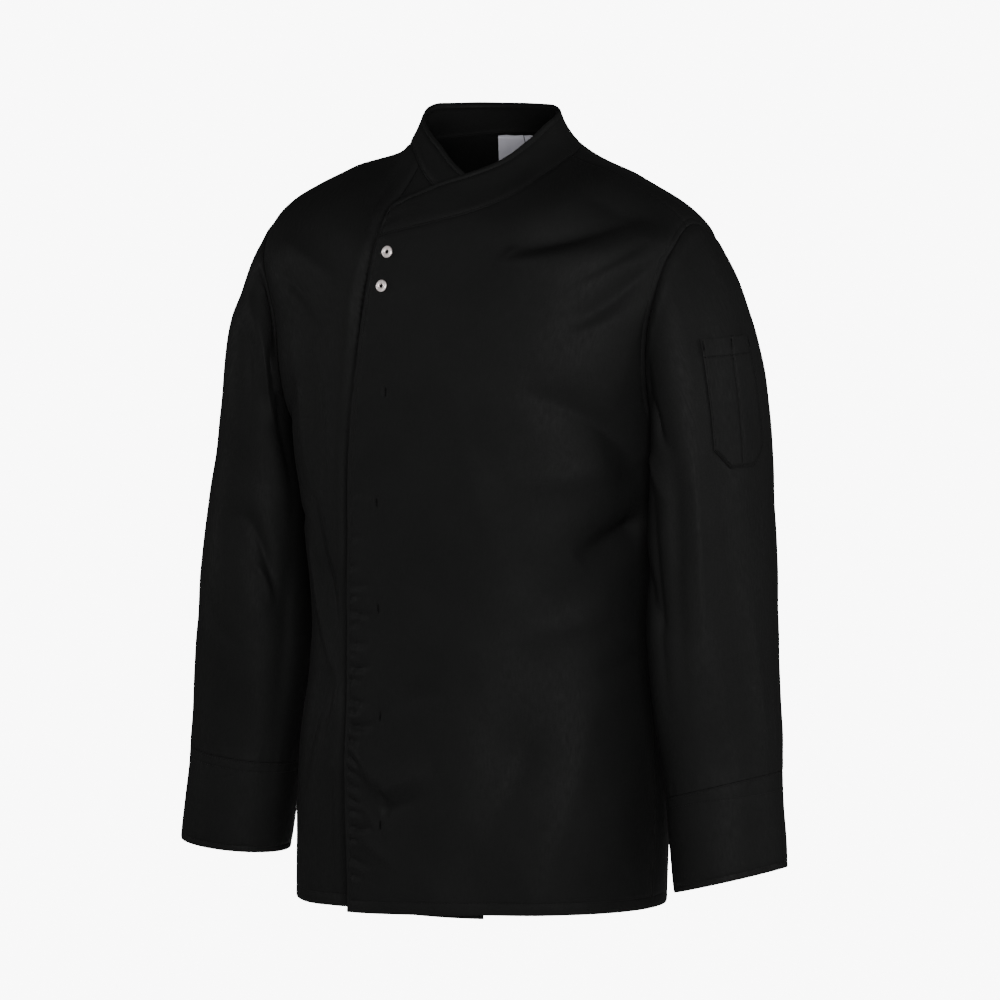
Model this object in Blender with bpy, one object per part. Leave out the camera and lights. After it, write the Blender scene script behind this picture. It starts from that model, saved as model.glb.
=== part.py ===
"""A long-sleeved chef jacket, filled out as if worn, with nobody in it.

Metres, +Z up, +X to the wearer's left, -Y to the front. The origin is the centre of the neck base.

The torso is one smooth surface: a stack of level-ish rings from the hem, over the shoulders, up to the
collar's top edge. A place on it is an angle round the body (0 at the centre front, 90 degrees at the
wearer's left side, 180 at the centre back) and a run, the distance up from the hem along the side.
Fronts, back and collar are patches of that surface, thickened inwards. The sleeves leave the armholes
cut in it, and cuffs, pocket, snaps and label are placed on the cloth that carries them.
"""

import math
from collections import namedtuple

import bmesh
import bpy
import numpy as np

# Cloth and seams
WALL = 0.0015                 # jacket cloth, with its turned edges
COLLAR_WALL = 0.0022          # two layers and an interlining
SEAM_GAP = 0.0004             # between two pieces that meet at a seam
LAP_INSET = 0.0038            # how far the under front and collar lie inside the outer ones
LAP_STARTS = math.radians(-62)
LAP_FULL = math.radians(-38)

# Torso rings, below the hem to the collar top; the hem is at run 0
Ring = namedtuple("Ring", "run side_x side_y side_z front_depth front_z back_depth back_z power")
TORSO_RINGS = (
    Ring(-0.010, 0.1865, -0.017, -0.741, 0.132, -0.747, 0.125, -0.747, 2.30),  # below the hem
    Ring(0.140, 0.1885, -0.013, -0.601, 0.132, -0.601, 0.122, -0.601, 2.30),   # hips
    Ring(0.275, 0.1780, -0.007, -0.465, 0.129, -0.466, 0.120, -0.464, 2.30),   # waist
    Ring(0.400, 0.1850, -0.002, -0.342, 0.137, -0.342, 0.127, -0.338, 2.70),   # ribs
    Ring(0.475, 0.1980, 0.000, -0.268, 0.142, -0.268, 0.135, -0.262, 2.80),    # armpits
    Ring(0.580, 0.2120, 0.000, -0.170, 0.140, -0.180, 0.138, -0.165, 2.90),    # mid armhole
    Ring(0.690, 0.2220, 0.000, -0.065, 0.130, -0.115, 0.128, -0.092, 2.70),    # shoulder tips
    Ring(0.775, 0.1500, 0.000, -0.0195, 0.118, -0.065, 0.114, -0.034, 2.40),   # mid shoulder
    Ring(0.845, 0.0850, 0.002, 0.005, 0.100, -0.030, 0.084, 0.015, 2.05),      # neck seam
    Ring(0.870, 0.0735, 0.004, 0.023, 0.088, -0.006, 0.072, 0.030, 1.95),      # collar middle
    Ring(0.895, 0.0672, 0.006, 0.044, 0.078, 0.015, 0.058, 0.044, 1.90),       # collar top
)
DIP_POWER = 1.4               # how roundly a ring dips from its side to its centre

# Front edges: how far across each front reaches, positive towards the wearer's left
Edge = namedtuple("Edge", "run outer_x under_x")
FRONT_EDGES = (
    Edge(0.000, -0.085, 0.066),
    Edge(0.110, -0.089, 0.066),
    Edge(0.260, -0.094, 0.066),
    Edge(0.410, -0.087, 0.066),
    Edge(0.590, -0.070, 0.062),
    Edge(0.745, -0.060, 0.046),
)

# The fronts' hems: how far they rise above run 0, by the angle
Hem = namedtuple("Hem", "angle rise")
OUTER_HEM = (Hem(-37, -0.002), Hem(0, 0.003), Hem(55, 0.006), Hem(90, 0.0))
UNDER_HEM = (Hem(-90, 0.0), Hem(-60, -0.002), Hem(-36, 0.001), Hem(28, 0.0015))

# Collar stations, from its end on the outer front round the neck to its hidden end
Station = namedtuple("Station", "seam_angle seam_z top_angle top_z columns")
COLLAR_STATIONS = (
    Station(-26.3, -0.0800, -26.3, -0.0570, 1),    # outer end, corner rounded off
    Station(-22.5, -0.0762, -25.0, -0.0440, 3),
    Station(0.0, -0.0633, -4.0, -0.0262, 2),
    Station(18.0, -0.0530, 15.0, -0.0157, 2),
    Station(36.0, -0.0390, 34.0, -0.0040, 2),
    Station(60.0, -0.0175, 59.0, 0.0165, 2),
    Station(86.0, -0.0020, 86.0, 0.0330, 3),       # wearer's left shoulder seam
    Station(130.0, 0.0080, 130.0, 0.0435, 3),
    Station(180.0, 0.0150, 180.0, 0.0440, 3),      # centre back
    Station(230.0, 0.0100, 230.0, 0.0440, 3),
    Station(274.0, 0.0050, 272.0, 0.0425, 2),      # wearer's right shoulder seam
    Station(304.0, 0.0050, 314.0, 0.0270, 2),
    Station(328.0, -0.0065, 344.0, 0.0120, 2),
    Station(351.0, -0.0270, 366.0, -0.0095, 3),
    Station(375.0, -0.0500, 388.0, -0.0320, 0),    # hidden end
)
LEFT_SHOULDER_STATION = 6
RIGHT_SHOULDER_STATION = 10
COLLAR_ROWS = 3

# Armholes
ARMHOLE_MID_RUN = 0.5825
ARMHOLE_HALF_RUN = 0.1075
ARMHOLE_HALF_ANGLE = {"left": math.radians(17.5), "right": math.radians(22)}
ARMHOLE_ROUNDNESS = 0.8
SHOULDER_SEAM_TURN = 0.12     # the shoulder seam meets the armhole this far in front of its top

# Arms. Turn runs round a sleeve: 0 on its outer side, 90 degrees in front, 180 on its inner side.
Arm = namedtuple("Arm", "along x y z half_width half_depth power")
ARM_RINGS = (
    Arm(0.000, 0.2412, 0.003, -0.338, 0.0505, 0.0780, 2.5),    # below the armpit
    Arm(0.127, 0.2498, -0.0095, -0.465, 0.0570, 0.0740, 2.3),   # elbow
    Arm(0.260, 0.2640, -0.0150, -0.595, 0.0565, 0.0580, 2.1),   # forearm
    Arm(0.365, 0.2755, -0.0210, -0.697, 0.0530, 0.0530, 2.0),   # cuff end
)
BICEP_TILT = math.radians(14)       # a ring's outer side is the higher one
CUFF_TILT = {"left": math.radians(15), "right": math.radians(5)}
CUFF_FLARE = 0.002
CUFF_SEAM_ALONG = 0.270
CUFF_END_ALONG = 0.365
CAP_START_PULL = 0.30         # how far the cap runs on in the shoulder's direction
CAP_END_PULL = 0.40

# Grid counts
SIDE_ROWS = 14
ARMHOLE_ROWS = 11
SHOULDER_COLUMNS = 8
BORDER_FADE = 4               # how soon a panel's rows forget the shape of its neckline and hem
CAP_ROWS = 8
ARM_ROWS = 9
CUFF_ROWS = 3

# Folds, each from a start to an end; a negative depth is a trough. Angles are in degrees: round the
# torso from the centre front, or a sleeve's turn.
Fold = namedtuple("Fold", "angle0 z0 depth0 angle1 z1 depth1 width")
TORSO_RADIUS = 0.16           # turns an angle round the torso into a length
SLEEVE_RADIUS = 0.065
TORSO_FOLDS = (
    Fold(36, -0.088, -0.002, 78, -0.054, -0.006, 0.018),      # chest to left shoulder seam
    Fold(38, -0.106, 0.003, 66, -0.086, 0.002, 0.018),        # ridge below it
    Fold(74, -0.095, -0.006, 52, -0.165, -0.002, 0.018),      # down from the left armhole
    Fold(74, -0.300, -0.005, 53, -0.238, -0.001, 0.018),      # into the left armpit
    Fold(78, -0.365, -0.004, 60, -0.390, -0.001, 0.018),      # side of the waist
    Fold(53, -0.430, -0.003, 40, -0.580, -0.005, 0.034),      # long soft valley, waist to hem
    Fold(40, -0.580, -0.005, 28, -0.735, -0.004, 0.034),
    Fold(-50, -0.420, -0.003, -45, -0.735, -0.006, 0.020),    # beside the outer front's edge
    Fold(-72, -0.290, -0.004, -50, -0.225, -0.001, 0.018),    # into the right armpit
    Fold(-78, -0.480, -0.001, -68, -0.735, 0.002, 0.026),     # right side of the hem
    Fold(112, -0.290, -0.005, 135, -0.235, -0.001, 0.020),    # back, into the left armpit
    Fold(-112, -0.285, -0.005, -136, -0.240, -0.001, 0.020),
    Fold(150, -0.400, -0.003, 146, -0.737, -0.006, 0.030),    # back, waist to hem
    Fold(-158, -0.430, -0.002, -150, -0.737, -0.005, 0.028),
    Fold(172, -0.430, -0.002, 192, -0.520, -0.001, 0.026),    # across the small of the back
)
SLEEVE_FOLDS = {
    "left": (
        Fold(118, -0.190, -0.004, 96, -0.290, -0.001, 0.018),
        Fold(140, -0.400, -0.003, 80, -0.455, -0.001, 0.018),
        Fold(60, -0.300, -0.001, 70, -0.580, -0.003, 0.020),
        Fold(250, -0.200, -0.004, 290, -0.300, -0.001, 0.018),
        Fold(230, -0.420, -0.003, 290, -0.500, -0.001, 0.020),
    ),
    "right": (
        Fold(61, -0.140, -0.005, 112, -0.240, -0.004, 0.018),
        Fold(30, -0.170, 0.003, 90, -0.290, 0.002, 0.018),
        Fold(95, -0.370, -0.004, 136, -0.450, -0.002, 0.018),
        Fold(110, -0.480, -0.002, 100, -0.590, -0.003, 0.020),
        Fold(245, -0.210, -0.004, 285, -0.310, -0.001, 0.018),
        Fold(225, -0.430, -0.003, 285, -0.490, -0.001, 0.020),
    ),
}

# Pen pocket on the wearer's left sleeve: its side edges by height
PocketRow = namedtuple("PocketRow", "z front_turn back_turn")
POCKET_OUTLINE = (
    PocketRow(-0.1720, 39.0, -6.0),
    PocketRow(-0.2250, 43.5, -6.0),
    PocketRow(-0.2770, 46.0, -6.0),    # chamfers start
    PocketRow(-0.2960, 29.0, 2.0),
)
POCKET_ROWS_BETWEEN = 3
POCKET_COLUMNS = 8

# Ring snaps on the outer front
Snap = namedtuple("Snap", "angle z")
SNAPS = (Snap(-19.9, -0.0934), Snap(-20.0, -0.1260))
SNAP_RADIUS = 0.0058
SNAP_HOLE_RADIUS = 0.0019
SNAP_HEIGHT = 0.0016
SNAP_SEGMENTS = 20
PROUD_GAP = 0.0005            # between a piece and the cloth that it lies on

# Bare labels inside the back neck, side by side
Label = namedtuple("Label", "name x0 x1 top_z height columns")
LABELS = (
    Label("label", -0.045, -0.011, 0.012, 0.038, 4),
    Label("label_size", -0.009, 0.017, 0.012, 0.036, 3),
)
LABEL_RADIUS = 0.112          # from the neck's axis to the back, at the labels
LABEL_WALL = 0.0008
LABEL_GAP = 0.0024            # clear of the back's facets
LABEL_ROWS = 3


def smooth(knots, values, at):
    """Cubic curve through a table's rows, each row's slope taken from its neighbours."""
    knots = np.asarray(knots, float)
    values = np.asarray(values, float)
    slopes = np.gradient(values, knots)
    at = np.clip(at, knots[0], knots[-1])
    low = np.clip(np.searchsorted(knots, at, side="right") - 1, 0, len(knots) - 2)
    span = knots[low + 1] - knots[low]
    t = (at - knots[low]) / span
    rise = t * t * (3 - 2 * t)
    return (
        values[low] * (1 - rise)
        + values[low + 1] * rise
        + slopes[low] * span * t * (1 - t) ** 2
        - slopes[low + 1] * span * t * t * (1 - t)
    )


def table(rows, key, at):
    """Every column of a table of named rows, read smoothly at one column's value."""
    knots = [getattr(row, key) for row in rows]
    columns = [smooth(knots, [getattr(row, name) for row in rows], at) for name in rows[0]._fields]
    return type(rows[0])(*columns)


def ease(value, start, end):
    """0 before start, 1 after end, smooth between."""
    t = np.clip((value - start) / (end - start), 0, 1)
    return t * t * (3 - 2 * t)


def unit(vectors):
    return vectors / np.linalg.norm(vectors, axis=-1, keepdims=True)


def bare_torso(angle, run):
    """The torso's surface without folds."""
    angle, run = np.broadcast_arrays(np.asarray(angle, float), np.asarray(run, float))
    ring = table(TORSO_RINGS, "run", run)
    in_front = np.cos(angle) > 0
    depth = np.where(in_front, ring.front_depth, ring.back_depth)
    centre_z = np.where(in_front, ring.front_z, ring.back_z)
    across = np.abs(np.sin(angle) / ring.side_x) ** ring.power
    along = np.abs(np.cos(angle) / depth) ** ring.power
    reach = (across + along) ** (-1 / ring.power)
    x = reach * np.sin(angle)
    forward = reach * np.cos(angle)
    z = ring.side_z + (centre_z - ring.side_z) * np.abs(forward / depth) ** DIP_POWER
    return np.stack([x, ring.side_y - forward, z], axis=-1)


def torso_normal(angle, run):
    step = 1e-4
    across = bare_torso(angle + step, run) - bare_torso(angle - step, run)
    up = bare_torso(angle, run + step) - bare_torso(angle, run - step)
    return unit(np.cross(across, up))


def fold_relief(folds, radius, angle, z):
    """How far the folds move a surface out, at an angle and a height."""
    total = np.zeros(np.shape(angle))
    for fold in folds:
        middle = math.radians(fold.angle0 + fold.angle1) / 2
        around = middle + (angle - middle + math.pi) % (2 * math.pi) - math.pi
        place = np.stack([around * radius, z], axis=-1)
        start = np.array([math.radians(fold.angle0) * radius, fold.z0])
        end = np.array([math.radians(fold.angle1) * radius, fold.z1])
        t = np.clip(((place - start) @ (end - start)) / np.dot(end - start, end - start), 0, 1)
        distance = np.linalg.norm(place - start - t[..., None] * (end - start), axis=-1)
        depth = fold.depth0 + (fold.depth1 - fold.depth0) * t
        total += depth * np.exp(-((distance / fold.width) ** 2))
    return total


def torso(angle, run, inset=0.0):
    """A point of the torso's outer face, with its folds, and the direction out of the cloth."""
    point = bare_torso(angle, run)
    normal = torso_normal(angle, run)
    relief = fold_relief(TORSO_FOLDS, TORSO_RADIUS, angle, point[..., 2]) - inset
    return point + normal * relief[..., None], normal


def lap_inset(angle):
    """The under layer's inset, by its angle from the wearer's right side to the centre and on."""
    return LAP_INSET * ease(angle, LAP_STARTS, LAP_FULL)


def run_at_height(angle, z):
    """The run where the torso's surface passes a height, at each angle above the chest."""
    runs = np.linspace(ARMHOLE_MID_RUN, TORSO_RINGS[-1].run, 200)
    return np.array([np.interp(h, bare_torso(a, runs)[:, 2], runs) for a, h in zip(angle, z)])


def angle_at_x(run, x):
    """The angle in the front half where the torso's surface has this x, at each run."""
    angles = np.radians(np.linspace(-75, 75, 300))
    return np.array([np.interp(across, bare_torso(angles, r)[:, 0], angles) for r, across in zip(run, x)])


def collar_lines():
    """Angle and run of each column's seam point and top point, and each station's column."""
    places = [0.0]
    for index, station in enumerate(COLLAR_STATIONS[:-1]):
        places += [index + (k + 1) / station.columns for k in range(station.columns)]
    station_columns = [places.index(float(index)) for index in range(len(COLLAR_STATIONS))]
    knots = np.arange(len(COLLAR_STATIONS))
    columns = {name: smooth(knots, [getattr(s, name) for s in COLLAR_STATIONS], np.array(places))
               for name in ("seam_angle", "seam_z", "top_angle", "top_z")}
    seam_angle = np.radians(columns["seam_angle"])
    top_angle = np.radians(columns["top_angle"])
    seam = np.stack([seam_angle, run_at_height(seam_angle, columns["seam_z"])], axis=-1)
    top = np.stack([top_angle, run_at_height(top_angle, columns["top_z"])], axis=-1)
    return seam, top, station_columns


def armhole(side, turn):
    """Angle and run on the torso of an armhole's edge; side is 1 on the wearer's left, -1 on the right."""
    forward = np.sign(np.sin(turn)) * np.abs(np.sin(turn)) ** ARMHOLE_ROUNDNESS
    half_angle = ARMHOLE_HALF_ANGLE["left" if side > 0 else "right"]
    angle = side * (math.pi / 2 - half_angle * forward)
    run = ARMHOLE_MID_RUN + ARMHOLE_HALF_RUN * np.cos(turn)
    return np.stack([angle, run], axis=-1)


def line(start, end, count):
    """count steps from one (angle, run) to another."""
    t = np.linspace(0, 1, count + 1)[:, None]
    return np.asarray(start) * (1 - t) + np.asarray(end) * t


def side_line(side, back):
    """Side seam and armhole edge, hem to shoulder seam, in (angle, run)."""
    armpit = armhole(side, np.array(math.pi))
    seam = line([side * math.pi / 2, 0.0], armpit, SIDE_ROWS)
    end = 2 * math.pi + SHOULDER_SEAM_TURN if back else SHOULDER_SEAM_TURN
    edge = armhole(side, np.linspace(math.pi, end, ARMHOLE_ROWS + 1))
    return np.concatenate([seam, edge[1:]])


def patch(bottom, top, left, right):
    """A grid between four border lines, as rows from the bottom up. Rows run straight between the left
    and right borders, and take up the bottom's and the top's shape only near them."""
    s = np.linspace(0, 1, len(bottom))[None, :, None]
    t = np.linspace(0, 1, len(left))[:, None, None]
    straight = left[:, None] * (1 - s) + right[:, None] * s
    bottom_bend = bottom[None] - (bottom[0] * (1 - s) + bottom[-1] * s)
    top_bend = top[None] - (top[0] * (1 - s) + top[-1] * s)
    return straight + bottom_bend * (1 - t) ** BORDER_FADE + top_bend * t ** BORDER_FADE


def front_edge(reach, hem_run, top_end):
    """A front's free edge from the hem to its neckline, in (angle, run)."""
    run = np.linspace(hem_run, top_end[1], SIDE_ROWS + ARMHOLE_ROWS + 1)
    x = smooth([edge.run for edge in FRONT_EDGES], [getattr(edge, reach) for edge in FRONT_EDGES], run)
    edge = np.stack([angle_at_x(run, x), run], axis=-1)
    edge[:, 0] += (top_end[0] - edge[-1, 0]) * ease(run, FRONT_EDGES[-2].run, top_end[1])
    return edge


def front_grid(side, seam, station_columns):
    """(angle, run) of a front's points: columns from its free edge to its side seam."""
    if side > 0:
        neckline = seam[: station_columns[LEFT_SHOULDER_STATION] + 1]
        hem = OUTER_HEM
        free_edge = front_edge("outer_x", hem[0].rise, neckline[0])
    else:
        neckline = seam[station_columns[RIGHT_SHOULDER_STATION]:][::-1] - [2 * math.pi, 0]
        hem = UNDER_HEM
        free_edge = front_edge("under_x", hem[-1].rise, neckline[0])
    side_edge = side_line(side, back=False)
    shoulder = line(neckline[-1], side_edge[-1], SHOULDER_COLUMNS)
    top = np.concatenate([neckline, shoulder[1:]])
    bottom = line(free_edge[0], side_edge[0], len(top) - 1)
    hem_angles = [math.radians(row.angle) for row in hem]
    bottom[1:-1, 1] = smooth(hem_angles, [row.rise for row in hem], bottom[1:-1, 0])
    return patch(bottom, top, free_edge, side_edge)


def back_grid(seam, station_columns):
    """(angle, run) of the back's points: columns from the wearer's left to right."""
    left_side = side_line(1, back=True)
    right_side = side_line(-1, back=True) + [2 * math.pi, 0]
    neckline = seam[station_columns[LEFT_SHOULDER_STATION]: station_columns[RIGHT_SHOULDER_STATION] + 1]
    left_shoulder = line(left_side[-1], neckline[0], SHOULDER_COLUMNS)
    right_shoulder = line(neckline[-1], right_side[-1], SHOULDER_COLUMNS)
    top = np.concatenate([left_shoulder, neckline[1:-1], right_shoulder])
    bottom = line(left_side[0], right_side[0], len(top) - 1)
    return patch(bottom, top, left_side, right_side)


def retract(grid, closed):
    """Moves a grid's borders half a seam gap towards its own middle."""
    grid = grid.copy()
    half = SEAM_GAP / 2
    grid[0] += unit(grid[1] - grid[0]) * half
    grid[-1] += unit(grid[-2] - grid[-1]) * half
    if not closed:
        grid[:, 0] += unit(grid[:, 1] - grid[:, 0]) * half
        grid[:, -1] += unit(grid[:, -2] - grid[:, -1]) * half
    return grid


def shell(outer, inner, closed=False):
    """Vertices and faces of a wall between two grids; closed joins the last column to the first."""
    rows, columns = outer.shape[:2]
    vertices = np.concatenate([outer.reshape(-1, 3), inner.reshape(-1, 3)])
    offset = rows * columns
    spans = columns if closed else columns - 1

    def place(row, column):
        return row * columns + column % columns

    faces = []
    for row in range(rows - 1):
        for column in range(spans):
            near, far = place(row, column), place(row, column + 1)
            quad = [near, far, place(row + 1, column + 1), place(row + 1, column)]
            faces.append(quad)
            faces.append([offset + corner for corner in reversed(quad)])
    bottom = [place(0, column) for column in range(spans + 1)]
    top = [place(rows - 1, column) for column in range(spans + 1)]
    borders = [bottom, top[::-1]]
    if not closed:
        borders = [bottom[:-1] + [place(row, columns - 1) for row in range(rows)]
                   + top[::-1][1:] + [place(row, 0) for row in range(rows - 2, -1, -1)]]
    for border in borders:
        for first, second in zip(border, border[1:]):
            faces.append([first, offset + first, offset + second, second])
    return vertices, faces


def cloth_material(name, colour, roughness, metallic=0.0):
    material = bpy.data.materials.new(name)
    material.use_nodes = True
    shader = material.node_tree.nodes["Principled BSDF"]
    shader.inputs["Base Color"].default_value = (*colour, 1.0)
    shader.inputs["Roughness"].default_value = roughness
    shader.inputs["Metallic"].default_value = metallic
    return material


def add_object(name, vertices, faces, material):
    """One closed body, its faces turned outwards and shaded smooth."""
    mesh = bpy.data.meshes.new(name)
    mesh.from_pydata([tuple(map(float, vertex)) for vertex in vertices], [], faces)
    work = bmesh.new()
    work.from_mesh(mesh)
    bmesh.ops.recalc_face_normals(work, faces=work.faces)
    work.to_mesh(mesh)
    work.free()
    mesh.shade_smooth()
    mesh.set_sharp_from_angle(angle=math.radians(50))
    mesh.materials.append(material)
    made = bpy.data.objects.new(name, mesh)
    bpy.context.scene.collection.objects.link(made)
    return made


def torso_piece(name, places, wall, inset, material):
    """A wall over a grid of (angle, run) places."""
    points, normals = torso(places[..., 0], places[..., 1], inset)
    outer = retract(points, closed=False)
    return add_object(name, *shell(outer, outer - normals * wall), material)


def arm_ring(side, turn, along):
    """A point round the arm, below the armpit."""
    arm = table(ARM_RINGS, "along", along)
    share = along / CUFF_END_ALONG
    tilt = BICEP_TILT + (CUFF_TILT["left" if side > 0 else "right"] - BICEP_TILT) * share
    out = arm.half_width * np.sign(np.cos(turn)) * np.abs(np.cos(turn)) ** (2 / arm.power)
    forward = arm.half_depth * np.sign(np.sin(turn)) * np.abs(np.sin(turn)) ** (2 / arm.power)
    return np.stack([side * (arm.x + out), arm.y - forward, arm.z + out * np.tan(tilt)], axis=-1)


def sleeve_cap(side, turn, t):
    """A point of the sleeve between the armhole (t 0) and the ring below the armpit (t 1)."""
    start, _ = torso(*np.moveaxis(armhole(side, turn), -1, 0))
    end = arm_ring(side, turn, np.zeros_like(turn))
    below = arm_ring(side, turn, np.full_like(turn, 0.01))
    under = (1 - np.cos(turn)) / 2
    leave = unit(np.stack([
        side * (0.62 + (0.20 - 0.62) * under),
        -0.30 * np.sin(turn),
        -(0.78 + (0.98 - 0.78) * under),
    ], axis=-1))
    reach = np.linalg.norm(end - start, axis=-1, keepdims=True)
    first = start + leave * reach * CAP_START_PULL
    second = end - unit(below - end) * reach * CAP_END_PULL
    t = t[..., None]
    return start * (1 - t) ** 3 + first * 3 * t * (1 - t) ** 2 + second * 3 * t * t * (1 - t) + end * t ** 3


def sleeve_turns():
    """Turns round a sleeve at the points that the fronts and the back have on the armhole."""
    front = np.linspace(SHOULDER_SEAM_TURN, math.pi, ARMHOLE_ROWS + 1)[:-1]
    back = np.linspace(math.pi, 2 * math.pi + SHOULDER_SEAM_TURN, ARMHOLE_ROWS + 1)[:-1]
    return np.concatenate([front, back])


def tube_normals(side, grid):
    round_it = np.roll(grid, -1, axis=1) - np.roll(grid, 1, axis=1)
    down = np.gradient(grid, axis=0)
    return unit(np.cross(round_it, down)) * side


def folded_tube(side, turns, grid):
    """A tube's points moved out and in by the sleeve's folds, and the directions out of its cloth."""
    folds = SLEEVE_FOLDS["left" if side > 0 else "right"]
    relief = fold_relief(folds, SLEEVE_RADIUS, turns, grid[..., 2])
    folded = grid + tube_normals(side, grid) * relief[..., None]
    return folded, tube_normals(side, folded)


def sleeve(side, name, material):
    turns = sleeve_turns()
    cap_turns, cap_t = np.meshgrid(turns, np.linspace(0, 1, CAP_ROWS + 1))
    arm_turns, arm_along = np.meshgrid(turns, np.linspace(0, CUFF_SEAM_ALONG, ARM_ROWS + 1)[1:])
    all_turns = np.concatenate([cap_turns, arm_turns])
    grid = np.concatenate([sleeve_cap(side, cap_turns, cap_t), arm_ring(side, arm_turns, arm_along)])
    folded, normals = folded_tube(side, all_turns, grid)
    folded[0] = grid[0]
    _, normals[0] = torso(*np.moveaxis(armhole(side, turns), -1, 0))
    outer = retract(folded, closed=True)
    return add_object(name, *shell(outer, outer - normals * WALL, closed=True), material)


def cuff(side, name, material):
    turns, along = np.meshgrid(sleeve_turns(), np.linspace(CUFF_SEAM_ALONG, CUFF_END_ALONG, CUFF_ROWS + 1))
    folded, normals = folded_tube(side, turns, arm_ring(side, turns, along))
    flare = CUFF_FLARE * ease(along, CUFF_SEAM_ALONG, CUFF_END_ALONG)
    outer = retract(folded + normals * flare[..., None], closed=True)
    return add_object(name, *shell(outer, outer - normals * WALL, closed=True), material)


def pen_pocket(material):
    """A patch over the wearer's left sleeve, from the sleeve's own points moved out."""
    knots = np.arange(len(POCKET_OUTLINE))
    rows = np.linspace(0, knots[-1], POCKET_ROWS_BETWEEN * knots[-1] + 1)
    z = np.interp(rows, knots, [row.z for row in POCKET_OUTLINE])
    front = np.interp(rows, knots, [row.front_turn for row in POCKET_OUTLINE])
    back = np.interp(rows, knots, [row.back_turn for row in POCKET_OUTLINE])
    share = np.linspace(0, 1, POCKET_COLUMNS + 1)
    turns = np.radians(back[:, None] + (front - back)[:, None] * share)
    t = np.linspace(0, 1, 120)
    cap_t = np.array([
        [np.interp(-height, -sleeve_cap(1, np.full_like(t, turn), t)[:, 2], t) for turn in row]
        for row, height in zip(turns, z)
    ])
    grid = sleeve_cap(1, turns, cap_t)
    step = 1e-3
    round_it = sleeve_cap(1, turns + step, cap_t) - sleeve_cap(1, turns - step, cap_t)
    down = sleeve_cap(1, turns, cap_t + step) - sleeve_cap(1, turns, cap_t - step)
    normals = unit(np.cross(round_it, down))
    relief = fold_relief(SLEEVE_FOLDS["left"], SLEEVE_RADIUS, turns, grid[..., 2])
    inner = grid + normals * (relief + PROUD_GAP)[..., None]
    return add_object("pen_pocket", *shell(inner + normals * WALL, inner), material)


def snap(name, place, material):
    """A ring snap's cap: a rounded ring round an open middle, lying on the outer front."""
    angle = np.array(math.radians(place.angle))
    run = run_at_height([float(angle)], [place.z])[0]
    centre, normal = torso(angle, np.array(run))
    right = unit(np.cross(normal, [0.0, 0.0, 1.0]))
    up = np.cross(right, normal)
    half_width = (SNAP_RADIUS - SNAP_HOLE_RADIUS) / 2
    profile = [
        (SNAP_RADIUS, 0.0),
        (SNAP_RADIUS, 0.45 * SNAP_HEIGHT),
        (SNAP_RADIUS - 0.35 * half_width, 0.9 * SNAP_HEIGHT),
        (SNAP_RADIUS - half_width, SNAP_HEIGHT),
        (SNAP_HOLE_RADIUS + 0.35 * half_width, 0.85 * SNAP_HEIGHT),
        (SNAP_HOLE_RADIUS, 0.3 * SNAP_HEIGHT),
        (SNAP_HOLE_RADIUS, 0.0),
    ]
    vertices = []
    for segment in range(SNAP_SEGMENTS):
        spin = 2 * math.pi * segment / SNAP_SEGMENTS
        out = math.cos(spin) * right + math.sin(spin) * up
        vertices += [centre + out * radius + normal * (PROUD_GAP + rise) for radius, rise in profile]
    count = len(profile)
    faces = []
    for segment in range(SNAP_SEGMENTS):
        here, there = segment * count, (segment + 1) % SNAP_SEGMENTS * count
        for k in range(count):
            following = (k + 1) % count
            faces.append([here + k, here + following, there + following, there + k])
    return add_object(name, vertices, faces, material)


def label(size, material):
    """A bare tab on the inner face of the back, under the collar seam."""
    angles = math.pi - np.linspace(size.x0, size.x1, size.columns + 1) / LABEL_RADIUS
    heights = np.linspace(size.top_z - size.height, size.top_z, LABEL_ROWS + 1)
    angle, z = np.meshgrid(angles, heights)
    run = np.array([run_at_height(row, heights_row) for row, heights_row in zip(angle, z)])
    points, normals = torso(angle, run)
    outer = points - normals * (WALL + LABEL_GAP)
    return add_object(size.name, *shell(outer, outer - normals * LABEL_WALL), material)


def make_jacket():
    for item in list(bpy.context.scene.objects):
        bpy.data.objects.remove(item)
    seam, top, station_columns = collar_lines()
    black = (0.012, 0.012, 0.013)

    places = front_grid(1, seam, station_columns)
    torso_piece("front_left", places, WALL, 0.0, cloth_material("front_left", black, 0.8))
    places = front_grid(-1, seam, station_columns)
    inset = lap_inset(places[..., 0])
    torso_piece("front_right", places, WALL, inset, cloth_material("front_right", black, 0.8))
    places = back_grid(seam, station_columns)
    torso_piece("back", places, WALL, 0.0, cloth_material("back", black, 0.8))

    rise = np.linspace(0, 1, COLLAR_ROWS + 1)[:, None, None]
    places = seam[None] * (1 - rise) + top[None] * rise
    inset = lap_inset(places[..., 0] - 2 * math.pi) * (places[..., 0] > math.pi)
    torso_piece("collar", places, COLLAR_WALL, inset, cloth_material("collar", black, 0.8))

    for side, word in ((1, "left"), (-1, "right")):
        sleeve(side, f"sleeve_{word}", cloth_material(f"sleeve_{word}", black, 0.8))
        cuff(side, f"cuff_{word}", cloth_material(f"cuff_{word}", black, 0.8))
    pen_pocket(cloth_material("pen_pocket", black, 0.8))

    for number, place in enumerate(SNAPS, start=1):
        name = f"snap_{number}"
        snap(name, place, cloth_material(name, (0.80, 0.74, 0.72), 0.25, metallic=1.0))
    for size in LABELS:
        label(size, cloth_material(size.name, (0.72, 0.71, 0.76), 0.5))


make_jacket()
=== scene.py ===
"""A long-sleeved chef jacket, filled out as if worn, with nobody in it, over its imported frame.

Metres, +Z up, +X to the wearer's left, -Y to the front. The panels follow the same surface as the
solids, with finer folds, rolled seams, topstitching and a twill cloth.
"""

import math
from collections import namedtuple

import bpy
import numpy as np
from mathutils import Matrix, Vector


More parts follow.
